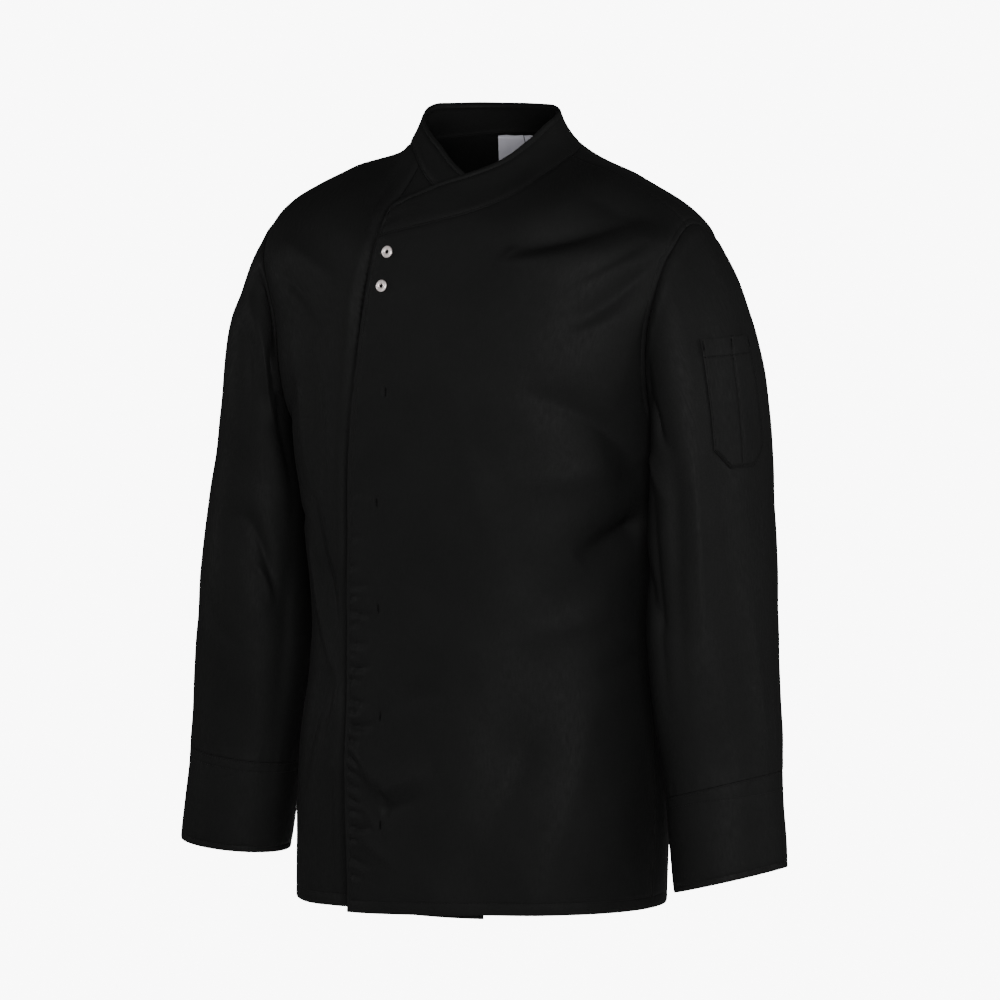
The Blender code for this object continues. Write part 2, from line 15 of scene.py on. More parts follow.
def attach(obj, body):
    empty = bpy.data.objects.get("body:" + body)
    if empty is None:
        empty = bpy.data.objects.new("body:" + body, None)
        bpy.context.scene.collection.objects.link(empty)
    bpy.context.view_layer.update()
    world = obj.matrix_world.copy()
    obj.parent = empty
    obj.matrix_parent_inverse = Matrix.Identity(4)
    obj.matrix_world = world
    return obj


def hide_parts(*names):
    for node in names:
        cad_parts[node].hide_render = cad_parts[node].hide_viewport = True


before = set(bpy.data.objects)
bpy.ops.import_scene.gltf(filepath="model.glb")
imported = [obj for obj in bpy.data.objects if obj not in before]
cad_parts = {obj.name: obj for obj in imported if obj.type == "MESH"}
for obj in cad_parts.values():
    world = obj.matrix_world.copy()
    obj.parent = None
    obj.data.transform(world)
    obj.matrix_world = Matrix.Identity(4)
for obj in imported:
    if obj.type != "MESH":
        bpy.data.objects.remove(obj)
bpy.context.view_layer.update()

# ---------------------------------------------------------------- tables
NO_LENGTHS = (
    "angle angle0 angle1 seam_angle top_angle front_turn back_turn u0 u1 u2 direction phase power peak slope"
).split()


def in_metres(kind, *rows):
    """A table's rows, which are written in millimetres and degrees, with their lengths in metres."""
    divisors = [1 if name in NO_LENGTHS else 1000 for name in kind._fields]
    return tuple(kind(*(value / by for value, by in zip(row, divisors))) for row in rows)


# ---------------------------------------------------------------- sizes, as in the part's source
SEAM_GAP = 0.0004
LAP_INSET = 0.0038
LAP_STARTS = math.radians(-62)
LAP_FULL = math.radians(-38)

Ring = namedtuple("Ring", "run side_x side_y side_z front_depth front_z back_depth back_z power")
TORSO_RINGS = in_metres(
    Ring,
    (-10, 186.5, -17, -741, 132, -747, 125, -747, 2.3),  # below the hem
    (140, 188.5, -13, -601, 132, -601, 122, -601, 2.3),  # hips
    (275, 178, -7, -465, 129, -466, 120, -464, 2.3),     # waist
    (400, 185, -2, -342, 137, -342, 127, -338, 2.7),     # ribs
    (475, 198, 0, -268, 142, -268, 135, -262, 2.8),      # armpits
    (580, 212, 0, -170, 140, -180, 138, -165, 2.9),      # mid armhole
    (690, 222, 0, -65, 130, -115, 128, -92, 2.7),        # shoulder tips
    (775, 150, 0, -19.5, 118, -65, 114, -34, 2.4),       # mid shoulder
    (845, 85, 2, 5, 100, -30, 84, 15, 2.05),             # neck seam
    (870, 73.5, 4, 23, 88, -6, 72, 30, 1.95),            # collar middle
    (895, 67.2, 6, 44, 78, 15, 58, 44, 1.9),             # collar top
)
DIP_POWER = 1.4
COLLAR_LENGTH = 0.52

Edge = namedtuple("Edge", "run outer_x under_x")
FRONT_EDGES = in_metres(
    Edge,
    (0, -85, 66),
    (110, -89, 66),
    (260, -94, 66),
    (410, -87, 66),
    (590, -70, 62),
    (745, -60, 46),
)
Hem = namedtuple("Hem", "angle rise")
OUTER_HEM = in_metres(Hem, (-37, -2), (0, 3), (55, 6), (90, 0))
UNDER_HEM = in_metres(Hem, (-90, 0), (-60, -2), (-36, 1), (28, 1.5))

Station = namedtuple("Station", "seam_angle seam_z top_angle top_z")
COLLAR_STATIONS = in_metres(
    Station,
    (-26.3, -80, -26.3, -57),  # outer end, corner rounded off
    (-22.5, -76.2, -25, -44),
    (0, -63.3, -4, -26.2),
    (18, -53, 15, -15.7),
    (36, -39, 34, -4),
    (60, -17.5, 59, 16.5),
    (86, -2, 86, 33),          # wearer's left shoulder seam
    (130, 8, 130, 43.5),
    (180, 15, 180, 44),        # centre back
    (230, 10, 230, 44),
    (274, 5, 272, 42.5),       # wearer's right shoulder seam
    (304, 5, 314, 27),
    (328, -6.5, 344, 12),
    (351, -27, 366, -9.5),
    (375, -50, 388, -32),      # hidden end
)

ARMHOLE_MID_RUN = 0.5825
ARMHOLE_HALF_RUN = 0.1075
ARMHOLE_HALF_ANGLE = {1: math.radians(17.5), -1: math.radians(22)}
ARMHOLE_ROUNDNESS = 0.8
SHOULDER_SEAM_TURN = 0.12
SIDE_SHARE = 14 / 25          # of a panel's side, up to the armpit
BORDER_FADE = 4
SHOULDER_COLUMNS = 8          # of a panel's top, beside its neckline
BACK_NECK_COLUMNS = 11

Arm = namedtuple("Arm", "along x y z half_width half_depth power")
ARM_RINGS = in_metres(
    Arm,
    (0, 241.2, 3, -338, 50.5, 78, 2.5),     # below the armpit
    (127, 249.8, -9.5, -465, 57, 74, 2.3),  # elbow
    (260, 264, -15, -595, 56.5, 58, 2.1),   # forearm
    (365, 275.5, -21, -697, 53, 53, 2),     # cuff end
)
BICEP_TILT = math.radians(14)
CUFF_TILT = {1: math.radians(15), -1: math.radians(5)}
CUFF_FLARE = 0.002
CUFF_SEAM_ALONG = 0.270
CUFF_END_ALONG = 0.365
CAP_START_PULL = 0.30
CAP_END_PULL = 0.40
# Where the sleeve leaves the armhole for: out and down, at the shoulder and at the armpit, and forward
CAP_LEAVES_TOP = (0.62, 0.78)
CAP_LEAVES_ARMPIT = (0.20, 0.98)
CAP_LEAVES_FORWARD = 0.30

TORSO_RADIUS = 0.16
SLEEVE_RADIUS = 0.065

PocketRow = namedtuple("PocketRow", "z front_turn back_turn")
POCKET_OUTLINE = in_metres(
    PocketRow,
    (-172, 39, -6),
    (-225, 43.5, -6),
    (-277, 46, -6),
    (-296, 29, 2),
)
PROUD_GAP = 0.0005

Snap = namedtuple("Snap", "angle z")
SNAPS = in_metres(Snap, (-19.9, -93.4), (-20, -126))

Label = namedtuple("Label", "name x0 x1 top_z height")
LABELS = (
    Label("label", -0.045, -0.011, 0.012, 0.038),
    Label("label_size", -0.009, 0.017, 0.012, 0.036),
)
LABEL_RADIUS = 0.112
LABEL_GAP = 0.0024

# ---------------------------------------------------------------- folds
# The solids' largest folds, repeated here, then finer ones. A negative depth is a trough.
Fold = namedtuple("Fold", "angle0 z0 depth0 angle1 z1 depth1 width")
TORSO_FOLDS = in_metres(
    Fold,
    (36, -88, -2, 78, -54, -6, 18),
    (38, -106, 3, 66, -86, 2, 18),
    (74, -95, -6, 52, -165, -2, 18),
    (74, -300, -5, 53, -238, -1, 18),
    (78, -365, -4, 60, -390, -1, 18),
    (53, -430, -3, 40, -580, -5, 34),
    (40, -580, -5, 28, -735, -4, 34),
    (-50, -420, -3, -45, -735, -6, 20),
    (-72, -290, -4, -50, -225, -1, 18),
    (-78, -480, -1, -68, -735, 2, 26),
    (112, -290, -5, 135, -235, -1, 20),
    (-112, -285, -5, -136, -240, -1, 20),
    (150, -400, -3, 146, -737, -6, 30),
    (-158, -430, -2, -150, -737, -5, 28),
    (172, -430, -2, 192, -520, -1, 26),
)
SLEEVE_FOLDS = {
    1: in_metres(
        Fold,
        (118, -190, -4, 96, -290, -1, 18),
        (140, -400, -3, 80, -455, -1, 18),
        (60, -300, -1, 70, -580, -3, 20),
        (250, -200, -4, 290, -300, -1, 18),
        (230, -420, -3, 290, -500, -1, 20),
    ),
    -1: in_metres(
        Fold,
        (61, -140, -5, 112, -240, -4, 18),
        (30, -170, 3, 90, -290, 2, 18),
        (95, -370, -4, 136, -450, -2, 18),
        (110, -480, -2, 100, -590, -3, 20),
        (245, -210, -4, 285, -310, -1, 18),
        (225, -430, -3, 285, -490, -1, 20),
    ),
}

# Finer creases, each a curve through three places in (degrees, height). peak is where along it the
# crease is deepest; below and above are its widths on its lower and upper sides.
Crease = namedtuple("Crease", "u0 z0 u1 z1 u2 z2 depth below above peak")
TORSO_CREASES = in_metres(
    Crease,
    # chest, towards the left shoulder
    (37.2, -88.5, 56.8, -71.5, 80, -46, -7.4, 8, 18, 0.45),
    (30, -99, 45, -92.7, 62, -79, 3.4, 12, 7, 0.35),
    (37, -84, 35, -90, 32, -98, 2.2, 4, 3.5, 0.4),
    (62, -32, 70, -42, 80, -58, -3, 14, 14, 0.6),
    (48, -160, 61.5, -136.9, 75, -90, -7.8, 14, 21, 0.65),
    (48, -170, 60, -156, 72, -130, 2.2, 16, 10, 0.5),
    (49.5, -124.1, 60, -101, 74, -74, -4.4, 8, 12, 0.75),
    # left armpit and side
    (36, -220, 56, -248, 76, -295, -7.6, 16, 24, 0.7),
    (34, -315, 52, -305, 70, -300, 4, 30, 24, 0.6),
    (57, -385, 68, -368, 85, -350, -12, 21, 19, 0.8),
    (40, -460, 56, -450, 72, -440, 3, 28, 20, 0.6),
    (66, -500, 76, -490, 88, -480, -2.4, 12, 16, 0.85),
    # front, below the chest
    (-35, -572, -27, -591, -17.2, -621, 7.4, 8.5, 16, 0.75),
    (-17.6, -619, -9, -607, 6, -590, 6.8, 9.5, 17, 0.2),
    (-19, -635, -9, -627, 5, -609, -4.6, 13, 8, 0.2),
    (-33, -612, -27, -635, -20, -656, 2, 5, 6, 0.5),
    (-16, -535, -2, -523, 12, -518, -3, 12, 17, 0.5),
    (-34, -658, -22, -674.5, -9, -696, 2.6, 6, 10, 0.35),
    (54, -470, 37, -600, 12, -720, -5, 34, 34, 0.75),
    (68, -500, 54, -640, 42, -740, 4, 26, 28, 0.5),
    (14, -210, 22, -320, 36, -410, 2, 22, 26, 0.5),
    # right armpit
    (-50, -216, -60, -248, -74, -292, -4, 8, 12, 0.9),
    (-58, -350, -66, -360, -80, -350, -3.4, 8, 11, 0.9),
    # back, shoulder blades and armpits
    (104, -130, 118, -160, 130, -210, -3.6, 9, 13, 0.2),
    (-104, -125, -120, -150, -128, -200, -4, 9, 13, 0.2),
    (102, -305, 116, -270, 134, -230, -4.8, 9, 12, 0.15),
    (-102, -300, -118, -276, -138, -244, -5.2, 9, 12, 0.15),
    (100, -380, 118, -390, 136, -370, -4, 8, 12, 0.2),
    (-101, -370, -116, -386, -132, -372, -3.6, 8, 12, 0.2),
    (160, -430, 176, -450, 192, -438, -4, 12, 16, 0.5),
    (150, -470, 168, -488, 184, -482, -2.4, 10, 14, 0.4),
    (140, -480, 136, -600, 138, -730, 4, 16, 20, 0.6),
    (-140, -490, -137, -610, -141, -730, 3.8, 16, 20, 0.6),
    (168, 1, 178, -6, 192, -2, -2.2, 6, 8, 0.5),
    # the back's side, which flares behind the left cuff
    (112, -580, 116, -670, 118, -760, 7.5, 22, 26, 0.9),
)
# The outer front's edge, as depths below the origin and degrees
EDGE_LINE = (
    (0.092, 0.169, 0.2375, 0.336, 0.434, 0.532, 0.629, 0.737),
    (-27.2, -26.8, -29.0, -33.5, -38.8, -38.8, -36.2, -35.0),
)
# The hollow of the under front beside that edge: how deep, how far off and how wide
HOLLOW_DEPTH = 0.0060
HOLLOW_OFF = 0.0076
HOLLOW_WIDTH = 0.0060
# The under front alone, where it comes out from behind that edge
UNDER_CREASES = in_metres(
    Crease,
    (-60, -10, -45, -37, -30, -92, -6, 13, 13, 0.7),
    (-40, -600, -41, -670, -40, -790, -5, 9, 9, 0.6),
    (-66, -85, -50, -106, -36, -130, 3, 10, 10, 0.5),
    (-64, -115, -50, -140, -38, -185, -3.6, 8, 13, 0.4),
    (-46, -180, -44, -260, -47, -340, -3.4, 8, 9, 0.5),
    (-55, -170, -52, -250, -54, -330, 2.8, 8, 10, 0.5),
    (-51, -330, -50, -390, -46, -470, -4, 6, 7, 0.6),
    (-58, -370, -56, -450, -46, -520, 4, 6, 7, 0.5),
    (-46, -510, -47, -556, -54, -630, 3.8, 6, 7, 0.4),
    (-52, -500, -56, -560, -62, -640, -3.8, 8, 9, 0.4),
    (-46, -600, -47, -670, -46, -745, -3, 7, 8, 0.4),
)
SLEEVE_CREASES = {
    1: in_metres(
        Crease,
        (84, -100, 96, -150, 100, -210, -3.4, 6, 9, 0.2),
        (112, -230, 102, -256, 88, -285, -5.2, 8, 10, 0.3),
        (124, -280, 110, -310, 92, -330, 3, 9, 11, 0.2),
        (90, -270, 89, -390, 90, -530, -3.6, 10, 12, 0.45),
        (73, -270, 68, -380, 68, -500, 2.6, 12, 12, 0.45),
        (120, -300, 110, -420, 108, -540, -4.4, 10, 12, 0.5),
        (136, -390, 116, -435, 92, -450, -3.4, 8, 12, 0.25),
        (50, -350, 44, -460, 48, -570, -1.8, 14, 15, 0.5),
        (20, -420, 14, -500, 18, -590, 2, 12, 15, 0.5),
        (250, -210, 266, -240, 286, -260, -4.2, 7, 11, 0.15),
        (236, -420, 254, -442, 280, -450, -4.6, 8, 12, 0.25),
        (240, -475, 262, -495, 290, -490, -3.2, 8, 12, 0.3),
        (300, -320, 306, -430, 300, -560, 2.6, 14, 16, 0.5),
    ),
    -1: in_metres(
        Crease,
        (40, -115, 85, -170, 128, -240, -13, 8.5, 11, 0.5),
        (45, -140, 92, -202, 128, -276, 6, 8, 7, 0.5),
        (36, -160, 74, -199, 96, -265, -4.4, 8, 8, 0.5),
        (118, -220, 142, -270, 152, -380, -8, 12, 14, 0.4),
        (150, -340, 150, -460, 144, -590, -4, 18, 20, 0.5),
        (88, -360, 115, -388, 138, -450, -4.6, 8, 12, 0.6),
        (104, -408, 122, -422, 134, -452, 3.4, 7, 5, 0.6),
        (60, -430, 78, -470, 104, -495, -2.6, 9, 12, 0.6),
        (30, -260, 40, -370, 34, -470, 2.4, 12, 15, 0.5),
        (244, -215, 262, -245, 284, -270, -4.2, 7, 11, 0.15),
        (230, -415, 252, -438, 278, -442, -4.6, 8, 12, 0.25),
        (238, -480, 258, -500, 286, -500, -3.2, 8, 12, 0.3),
        (300, -300, 308, -420, 302, -550, 2.6, 14, 16, 0.5),
    ),
}
CREASE_CORE = 0.30            # share of a crease's depth in its narrow middle
CORE_WIDTH = 0.42             # of the crease's own width
CREASE_LEGS = 20              # straight legs that its curve is followed by
CREASE_REACH = 2.6            # widths away from it, past which it adds nothing
# Slow unevenness of hanging cloth: wavelength, direction in degrees, phase, height
Wave = namedtuple("Wave", "length direction phase height")
WAVES = in_metres(
    Wave,
    (210, 12, 0.4, 0.5),
    (153, 74, 1.9, 0.4),
    (97, -38, 4.1, 0.28),
    (71, 55, 2.6, 0.2),
    (46, -67, 5.2, 0.11),
    (31, 20, 0.9, 0.06),
)
WAVES_FADE = (0.86, 0.78)     # from the collar, where there are none, down to the shoulders

# Shells: their cloth, and distances from an edge or a stitched line where a grid has its own rows
CLOTH = 0.0012
BAND = 0.0021
EDGE_STEPS = (0.0, 0.0004, 0.0010, 0.0020)
GROOVE_STEPS = 0.0007 * np.arange(-2, 3)
LAST_STEP = 0.0030
GROOVE_WIDTH = 0.0011
SMALL_STEP = 0.01             # of a parameter, to find how fast a point moves with it

# Sewing
EDGE_STITCH = 0.0050          # from a finished edge
HEM_STITCH = 0.0120
SEAM_STITCH = 0.0062          # from a seam, on the lapped side
CUFF_STITCH = 0.0065
STITCH_PITCH = 0.0031
STITCH_LENGTH = 0.0024
THREAD_RADIUS = 0.00026
BAR_RADIUS = 0.00036
FRONT_BAR = (0.0080, 0.0019)  # bartacks: length and width
POCKET_BAR = (0.0085, 0.0021)
BAR_SUNK = 0.0008             # in the dimple that it draws
Bartack = namedtuple("Bartack", "angle z")
BARTACKS = in_metres(
    Bartack,
    (-15.5, -228), (-20.8, -336), (-22.5, -439.4),
    (-20.8, -544.2), (-19, -649.7),
)

# Small tucks across the lapped edge, each from start to end away from it
Tuck = namedtuple("Tuck", "z start end sag slope width depth")
TUCKS = in_metres(
    Tuck,
    (-330, 6, 29, 0.6, 0.05, 2.6, 0.9),
    (-373, 4, 27, -0.8, 0.1, 2.9, 1.1),
    (-402, 3, 22, 0.8, -0.05, 2.4, 1.4),
    (-420, 4, 36, -1.7, 0.12, 3.1, 2),
    (-433, 3, 25, 1.1, 0.2, 2.6, 1.8),
    (-444, 3, 42, -2.2, -0.08, 3.1, 2.9),
    (-459, 5, 30, 1.4, 0.1, 2.6, 1.8),
    (-476, 3, 39, -2, 0.05, 3.4, 2.5),
    (-487, 4, 23, 0.8, -0.1, 2.4, 1.4),
    (-500, 3, 42, -2.5, 0.14, 3.4, 3.2),
    (-513, 3, 28, 1.1, 0.06, 2.9, 2),
    (-530, 3, 39, -2.8, -0.06, 3.1, 2.9),
    (-542, 4, 33, -1.7, 0.18, 2.9, 2.5),
    (-555, 3, 48, -3.6, 0.1, 3.6, 3.7),
    (-570, 3, 28, 1.1, -0.2, 2.9, 2.4),
    (-584, 3, 36, -1.4, -0.35, 3.4, 3.2),
    (-598, 3, 31, 0.8, -0.4, 2.9, 2.9),
    (-612, 3, 28, -1.1, -0.25, 2.9, 2.5),
    (-626, 3, 33, -1.7, -0.15, 3.1, 2.9),
    (-640, 3, 36, 1.4, -0.05, 2.9, 2.4),
    (-654, 3, 48, -3.4, 0.1, 3.4, 3.4),
    (-668, 3, 31, 1.1, 0.05, 2.9, 2.4),
    (-684, 3, 39, -1.7, -0.2, 3.4, 2.5),
    (-702, 3, 28, 0.8, -0.1, 2.9, 1.8),
)


# ---------------------------------------------------------------- the shared surface
def smooth(knots, values, at):
    """Cubic curve through a table's rows, each row's slope taken from its neighbours."""
    knots, values = np.asarray(knots, float), np.asarray(values, float)
    slopes = np.gradient(values, knots)
    at = np.clip(at, knots[0], knots[-1])
    low = np.clip(np.searchsorted(knots, at, side="right") - 1, 0, len(knots) - 2)
    span = knots[low + 1] - knots[low]
    t = (at - knots[low]) / span
    rise = t * t * (3 - 2 * t)
    return (
        values[low] * (1 - rise)
        + values[low + 1] * rise
        + slopes[low] * span * t * (1 - t) ** 2
        - slopes[low + 1] * span * t * t * (1 - t)
    )


def table(rows, key, at):
    knots = [getattr(row, key) for row in rows]
    columns = [smooth(knots, [getattr(row, name) for row in rows], at) for name in rows[0]._fields]
    return type(rows[0])(*columns)


def ease(value, start, end):
    t = np.clip((value - start) / (end - start), 0, 1)
    return t * t * (3 - 2 * t)


def hump(distance, width):
    """A bell curve: 1 at no distance, and next to nothing beyond twice the width."""
    return np.exp(-((distance / width) ** 2))


def joined(*columns):
    return np.stack(columns, axis=-1)


def unit(vectors):
    return vectors / np.maximum(np.linalg.norm(vectors, axis=-1, keepdims=True), 1e-12)


def bare_torso(angle, run):
    angle, run = np.broadcast_arrays(np.asarray(angle, float), np.asarray(run, float))
    ring = table(TORSO_RINGS, "run", run)
    in_front = np.cos(angle) > 0
    depth = np.where(in_front, ring.front_depth, ring.back_depth)
    centre_z = np.where(in_front, ring.front_z, ring.back_z)
    across = np.abs(np.sin(angle) / ring.side_x) ** ring.power
    along = np.abs(np.cos(angle) / depth) ** ring.power
    reach = (across + along) ** (-1 / ring.power)
    x = reach * np.sin(angle)
    forward = reach * np.cos(angle)
    z = ring.side_z + (centre_z - ring.side_z) * np.abs(forward / depth) ** DIP_POWER
    return joined(x, ring.side_y - forward, z)


def torso_normal(angle, run):
    step = 1e-4
    across = bare_torso(angle + step, run) - bare_torso(angle - step, run)
    up = bare_torso(angle, run + step) - bare_torso(angle, run - step)
    return unit(np.cross(across, up))


def nearest_turn(angle, degrees0, degrees1):
    """The angle, given as many whole turns as bring it nearest to the middle of two others."""
    middle = math.radians(degrees0 + degrees1) / 2
    return middle + (angle - middle + math.pi) % (2 * math.pi) - math.pi


def fold_relief(folds, radius, angle, z):
    total = np.zeros(np.shape(angle))
    for fold in folds:
        place = joined(nearest_turn(angle, fold.angle0, fold.angle1) * radius, z)
        start = np.array([math.radians(fold.angle0) * radius, fold.z0])
        leg = np.array([math.radians(fold.angle1) * radius, fold.z1]) - start
        t = np.clip(((place - start) @ leg) / np.dot(leg, leg), 0, 1)
        distance = np.linalg.norm(place - start - t[..., None] * leg, axis=-1)
        total += (fold.depth0 + (fold.depth1 - fold.depth0) * t) * hump(distance, fold.width)
    return total


def crease_relief(creases, radius, angle, z):
    """Finer creases: a curved line each, faded out at its ends, with a width for each of its sides."""
    shape = np.shape(angle)
    angle, z = np.ravel(angle), np.ravel(z)
    total = np.zeros(len(z))
    for crease in creases:
        place = joined(nearest_turn(angle, crease.u0, crease.u2) * radius, z)
        knots = np.array([crease[0:2], crease[2:4], crease[4:6]])
        knots[:, 0] = np.radians(knots[:, 0]) * radius
        bend = 2 * knots[1] - (knots[0] + knots[2]) / 2
        t = np.linspace(0, 1, CREASE_LEGS + 1)[:, None]
        curve = knots[0] * (1 - t) ** 2 + bend * 2 * t * (1 - t) + knots[2] * t * t
        reach = CREASE_REACH * max(crease.below, crease.above)
        near = np.all((place > curve.min(axis=0) - reach) & (place < curve.max(axis=0) + reach), axis=1)
        if not near.any():
            continue
        points = place[near]
        best = np.full(len(points), 1e9)
        best_t = np.zeros(len(points))
        best_side = np.ones(len(points))
        for k in range(CREASE_LEGS):
            leg = curve[k + 1] - curve[k]
            s = np.clip(((points - curve[k]) @ leg) / np.dot(leg, leg), 0, 1)
            offset = points - curve[k] - s[:, None] * leg
            distance = np.hypot(offset[:, 0], offset[:, 1])
            closer = distance < best
            best = np.where(closer, distance, best)
            best_t = np.where(closer, (k + s) / CREASE_LEGS, best_t)
            above = offset[:, 1] * abs(leg[0]) - offset[:, 0] * leg[1] * np.sign(leg[0] + 1e-12)
            best_side = np.where(closer, above, best_side)
        width = np.where(best_side > 0, crease.above, crease.below)
        before = best_t / max(crease.peak, 1e-3)
        after = (1 - best_t) / max(1 - crease.peak, 1e-3)
        fade = np.sin(np.clip(np.minimum(before, after), 0, 1) * math.pi / 2)
        wide, core = hump(best, width), hump(best, CORE_WIDTH * width)
        total[near] += crease.depth * fade * (wide + CREASE_CORE * (core - wide))
    return total.reshape(shape)


def wave_relief(point):
    """Slow unevenness, from a point's place, so that it runs on across every seam."""
    along = point[..., 0] * 0.83 + point[..., 1] * 0.71
    total = np.zeros(along.shape)
    for wave in WAVES:
        turn = math.radians(wave.direction)
        distance = along * math.cos(turn) + point[..., 2] * math.sin(turn)
        drift = 0.8 * np.sin(point[..., 1] * 23 + wave.phase * 3)
        total += wave.height * np.sin(2 * math.pi * distance / wave.length + wave.phase + drift)
    return total


def torso(angle, run, inset=0.0):
    """A point of the torso's outer face, with its folds, and the direction out of the cloth."""
    point = bare_torso(angle, run)
    normal = torso_normal(angle, run)
    relief = fold_relief(TORSO_FOLDS, TORSO_RADIUS, angle, point[..., 2])
    relief = relief + crease_relief(TORSO_CREASES, TORSO_RADIUS, angle, point[..., 2])
    relief = relief + wave_relief(point) * ease(run, *WAVES_FADE)
    return point + normal * (relief - inset)[..., None], normal


def lap_inset(angle):
    return LAP_INSET * ease(angle, LAP_STARTS, LAP_FULL)


def run_at_height(angle, z):
    runs = np.linspace(ARMHOLE_MID_RUN, TORSO_RINGS[-1].run, 200)
    return np.array([np.interp(h, bare_torso(a, runs)[:, 2], runs) for a, h in zip(angle, z)])


def angle_at_x(run, x):
    angles = np.radians(np.linspace(-75, 75, 300))
    return np.array([np.interp(across, bare_torso(angles, r)[:, 0], angles) for r, across in zip(run, x)])


COLLAR_PLACES = np.linspace(0, len(COLLAR_STATIONS) - 1, 400)


def collar_table():
    """Seam and top of the collar, in (angle, run), at COLLAR_PLACES."""
    knots = np.arange(len(COLLAR_STATIONS))
    at = {name: smooth(knots, [getattr(s, name) for s in COLLAR_STATIONS], COLLAR_PLACES)
          for name in Station._fields}
    seam_angle = np.radians(at["seam_angle"])
    top_angle = np.radians(at["top_angle"])
    seam = joined(seam_angle, run_at_height(seam_angle, at["seam_z"]))
    top = joined(top_angle, run_at_height(top_angle, at["top_z"]))
    return seam, top


COLLAR_SEAM, COLLAR_TOP = collar_table()


def on(curve, at):
    """A (n, 2) curve over [0, 1] at any places."""
    knots = np.linspace(0, 1, len(curve))
    return joined(*(np.interp(at, knots, column) for column in curve.T))


def collar_line(curve, place):
    return on(curve, place / (len(COLLAR_STATIONS) - 1))


def armhole(side, turn):
    forward = np.sign(np.sin(turn)) * np.abs(np.sin(turn)) ** ARMHOLE_ROUNDNESS
    angle = side * (math.pi / 2 - ARMHOLE_HALF_ANGLE[side] * forward)
    run = ARMHOLE_MID_RUN + ARMHOLE_HALF_RUN * np.cos(turn)
    return joined(angle, run)


# ---------------------------------------------------------------- patches of the torso
class Patch:
    """Part of the torso: places(s, t) gives (angle, run) for s and t from 0 to 1."""

    SAMPLES = 81              # along each border
    LEAST_SHARE = 0.45        # of a slanted border's speed that counts as leading away from it

    def __init__(self, places):
        self.places = places
        self.knots = np.linspace(0, 1, self.SAMPLES)
        zero, one = np.zeros(self.SAMPLES), np.ones(self.SAMPLES)
        self.speed = {
            "left": self.border_speed(zero, self.knots, "s"),
            "right": self.border_speed(one, self.knots, "s"),
            "bottom": self.border_speed(self.knots, zero, "t"),
            "top": self.border_speed(self.knots, one, "t"),
        }

    def bare(self, s, t):
        place = self.places(s, t)
        return bare_torso(place[..., 0], place[..., 1])

    def border_speed(self, s, t, leaving):
        """Metres away from a border for a unit of the parameter that leaves it."""
        step = 1e-3
        s0, s1 = np.clip(s - step, 0, 1), np.clip(s + step, 0, 1)
        t0, t1 = np.clip(t - step, 0, 1), np.clip(t + step, 0, 1)
        by_s = (self.bare(s1, t) - self.bare(s0, t)) / (s1 - s0)[:, None]
        by_t = (self.bare(s, t1) - self.bare(s, t0)) / (t1 - t0)[:, None]
        away, along = (by_s, by_t) if leaving == "s" else (by_t, by_s)
        across = np.linalg.norm(np.cross(away, unit(along)), axis=-1)
        return np.maximum(across, self.LEAST_SHARE * np.linalg.norm(away, axis=-1))

    def at(self, border, u):
        return np.interp(u, self.knots, self.speed[border])


def place_on(line, u):
    """One place on a border."""
    return line(np.array([float(u)]))[0]


def between(bottom, top, left, right):
    """Places between four borders, each a function of 0..1, as in the solids."""
    bottom_ends = place_on(bottom, 0), place_on(bottom, 1)
    top_ends = place_on(top, 0), place_on(top, 1)

    def places(s, t):
        s3, t3 = s[..., None], t[..., None]
        straight = left(t) * (1 - s3) + right(t) * s3
        bottom_bend = bottom(s) - (bottom_ends[0] * (1 - s3) + bottom_ends[1] * s3)
        top_bend = top(s) - (top_ends[0] * (1 - s3) + top_ends[1] * s3)
        return straight + bottom_bend * (1 - t3) ** BORDER_FADE + top_bend * t3 ** BORDER_FADE

    return places


def mixed(start, end):
    start, end = np.asarray(start, float), np.asarray(end, float)
    return lambda u: start + (end - start) * u[..., None]


def side_line(side, back):
    """Side seam, then armhole edge."""
    armpit = armhole(side, np.array(math.pi))
    last = 2 * math.pi + SHOULDER_SEAM_TURN if back else SHOULDER_SEAM_TURN

    def line(u):
        seam = np.array([side * math.pi / 2, 0.0]) * (1 - u[..., None] / SIDE_SHARE)
        seam = seam + armpit * u[..., None] / SIDE_SHARE
        turn = math.pi + (last - math.pi) * np.clip((u - SIDE_SHARE) / (1 - SIDE_SHARE), 0, 1)
        return np.where((u < SIDE_SHARE)[..., None], seam, armhole(side, turn))

    return line


def neckline(columns, stations, shift=0.0):
    """The collar seam as a border: columns and stations pair the solids' columns with places."""
    def line(column):
        place = np.interp(column, columns, stations)
        return collar_line(COLLAR_SEAM, place) + np.array([shift, 0.0])

    return line


def front_edge(reach, hem_run, top_end):
    run = np.linspace(hem_run, top_end[1], 240)
    x = smooth([edge.run for edge in FRONT_EDGES], [getattr(edge, reach) for edge in FRONT_EDGES], run)
    edge = joined(angle_at_x(run, x), run)
    edge[:, 0] += (top_end[0] - edge[-1, 0]) * ease(run, FRONT_EDGES[-2].run, top_end[1])
    return lambda u: on(edge, u)


